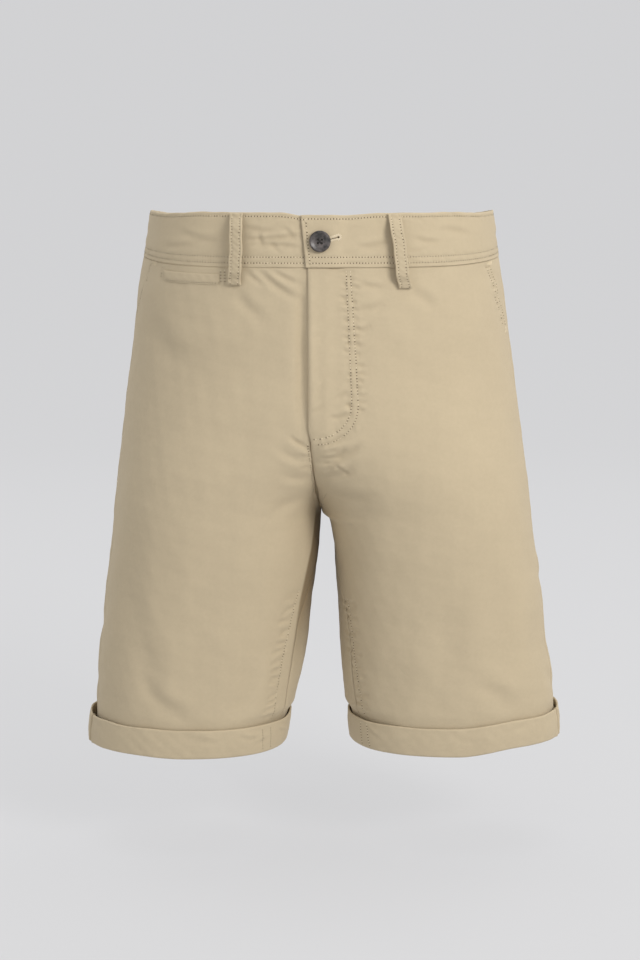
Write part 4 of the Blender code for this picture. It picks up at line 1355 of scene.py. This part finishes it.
def horn_look():
    nodes, links = horn.node_tree.nodes, horn.node_tree.links
    bsdf = nodes["Principled BSDF"]
    coords = nodes.new("ShaderNodeTexCoord")
    grain = nodes.new("ShaderNodeTexNoise")
    grain.inputs["Scale"].default_value = 260.0
    grain.inputs["Detail"].default_value = 5.0
    links.new(coords.outputs["Object"], grain.inputs["Vector"])
    ramp = nodes.new("ShaderNodeValToRGB")
    ramp.color_ramp.elements[0].position = 0.35
    ramp.color_ramp.elements[0].color = (0.014, 0.013, 0.012, 1.0)
    ramp.color_ramp.elements[1].position = 0.72
    ramp.color_ramp.elements[1].color = (0.115, 0.098, 0.092, 1.0)
    links.new(grain.outputs["Fac"], ramp.inputs["Fac"])
    links.new(ramp.outputs["Color"], bsdf.inputs["Base Color"])
    scratch = nodes.new("ShaderNodeBump")
    scratch.inputs["Distance"].default_value = 0.00008
    scratch.inputs["Strength"].default_value = 0.5
    links.new(grain.outputs["Fac"], scratch.inputs["Height"])
    links.new(scratch.outputs["Normal"], bsdf.inputs["Normal"])


horn_look()
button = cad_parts["button"]
button.data.materials.clear()
button.data.materials.append(horn)
low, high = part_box("button")
button_mid = (low + high) / 2.0


def strand_mesh():
    """One strand of thread, along x, 1 m long before it is scaled."""
    bm = bmesh.new()
    bmesh.ops.create_uvsphere(bm, u_segments=8, v_segments=6, radius=0.5)
    bmesh.ops.rotate(bm, verts=bm.verts, cent=(0, 0, 0), matrix=Matrix.Rotation(math.radians(90.0), 3, "Y"))
    mesh = bpy.data.meshes.new("strand")
    bm.to_mesh(mesh)
    bm.free()
    return mesh


strand = strand_mesh()
HOLE_SPAN = 0.0042      # between the centres of opposite holes
HOLE_TURN = 2.0         # degrees
dark_thread = dyed("dark_thread", (0.012, 0.010, 0.009), (0.030, 0.026, 0.022))


def button_thread():
    bm = bmesh.new()
    face = Vector((0.0, -1.0, 0.0))
    for k in range(2):
        a = math.radians(45.0 + 90.0 * k - HOLE_TURN)
        along = Vector((math.cos(a), 0.0, math.sin(a)))
        for shift in (-0.00018, 0.00018):
            beside = face.cross(along)
            at = Vector((button_mid.x, low.y + 0.0009 - 0.0002 * k, button_mid.z)) + beside * shift
            lay(bm, strand, at, face, along, (HOLE_SPAN, 0.00030, 0.00030))
        for end in (-0.5, 0.5):
            at = Vector((button_mid.x, low.y + 0.0024, button_mid.z)) + along * HOLE_SPAN * end
            lay(bm, strand, at, along, face, (0.0018, 0.0017, 0.0017))
    return add_mesh("button_thread", bm, [dark_thread])


shank = button_thread()
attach(shank, "root")

purl_thread = dyed("purl_thread", (0.60, 0.52, 0.38), (0.82, 0.72, 0.55))
HOLE_START, HOLE_END = 0.0050, 0.0145
HOLE_DOWN, HOLE_FALL = 0.0186, -0.0022
EYELET = 0.0017


def buttonhole():
    """Purled thread round a slot with an eyelet at its outer end, and a dark sheet of painted shade in the
    slot.
    """
    bm = bmesh.new()
    dark = bmesh.new()
    trees = [band_trees["waistband_left"]]

    def ray(across, down):
        place, out = spot("front", across, down)
        found = landed(trees, place, out)
        return found[0], found[1] if found[1].dot(Vector(out)) > 0 else -found[1]

    spots = []
    for k in range(11):
        t = k / 10
        x = HOLE_START + (HOLE_END - HOLE_START - EYELET) * t
        for up in (-1.0, 1.0):
            spots.append((x, HOLE_DOWN + HOLE_FALL * t + up * 0.0012, 0.0, up))
    for k in range(9):
        a = math.radians(-125.0 + 250.0 * k / 8)
        cos, sin = math.cos(a), math.sin(a)
        spots.append((HOLE_END + EYELET * cos, HOLE_DOWN + HOLE_FALL + EYELET * sin, cos, sin))
    for x, down, ax, ad in spots:
        hit, normal = ray(x, down)
        lay(bm, strand, hit, normal, Vector((ax, 0.0, -ad)), (0.0024, 0.00062, 0.00070))
    whole = HOLE_END - HOLE_START
    # Painted shade: flat dark strands fill the slot and eyelet where shade falls.
    for x, long, tall in ((0.5 * (HOLE_START + HOLE_END), whole, 0.0007), (HOLE_END, 0.0022, 0.0022)):
        t = (x - HOLE_START) / whole
        hit, normal = ray(x, HOLE_DOWN + HOLE_FALL * t)
        lay(dark, strand, hit, normal, Vector((1.0, 0.0, 0.22)), (long, tall, 0.0002))
    ring = add_mesh("buttonhole_thread", bm, [purl_thread])
    slit_shade = add_mesh("buttonhole_slit_shade", dark, [hole_shade])
    return ring, slit_shade


for ob in buttonhole():
    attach(ob, "root")

# ---------------------------------------------------------------- bartacks
# Short dense bars of the same thread close the left front pocket at both ends, and the right at its top.
def bartack(name, face, spots, trees):
    bm = bmesh.new()
    for across, down, ax, ad, long in spots:
        for k in range(9):
            shift = (k - 4) * 0.00055
            place, out = spot(face, across - ad * shift, down + ax * shift)
            found = landed(trees, place, out)
            if found is None:
                continue
            way = Vector(np.cross(out, (0.0, 0.0, 1.0))) * (ax if across > 0 or face == "front" else -ax)
            way = way + Vector((0.0, 0.0, -ad))
            normal = found[1] if found[1].dot(Vector(out)) > 0 else -found[1]
            lay(bm, strand, found[0], normal, way, (long, 0.00055, 0.0006))
    return add_mesh(name, bm, [thread_twist])


tacks = bartack(
    "pocket_bartacks", "front",
    [(0.1460, 0.0424, 0.2, 1.0, 0.0050), (0.1628, 0.1040, 1.0, 0.1, 0.0055),
     (-0.1445, 0.0420, 0.2, 1.0, 0.0050)],
    [leg_trees["front_left"], leg_trees["front_right"]],
)
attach(tacks, "root")

for spare in (stitch, strand):
    bpy.data.meshes.remove(spare)

low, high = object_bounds()
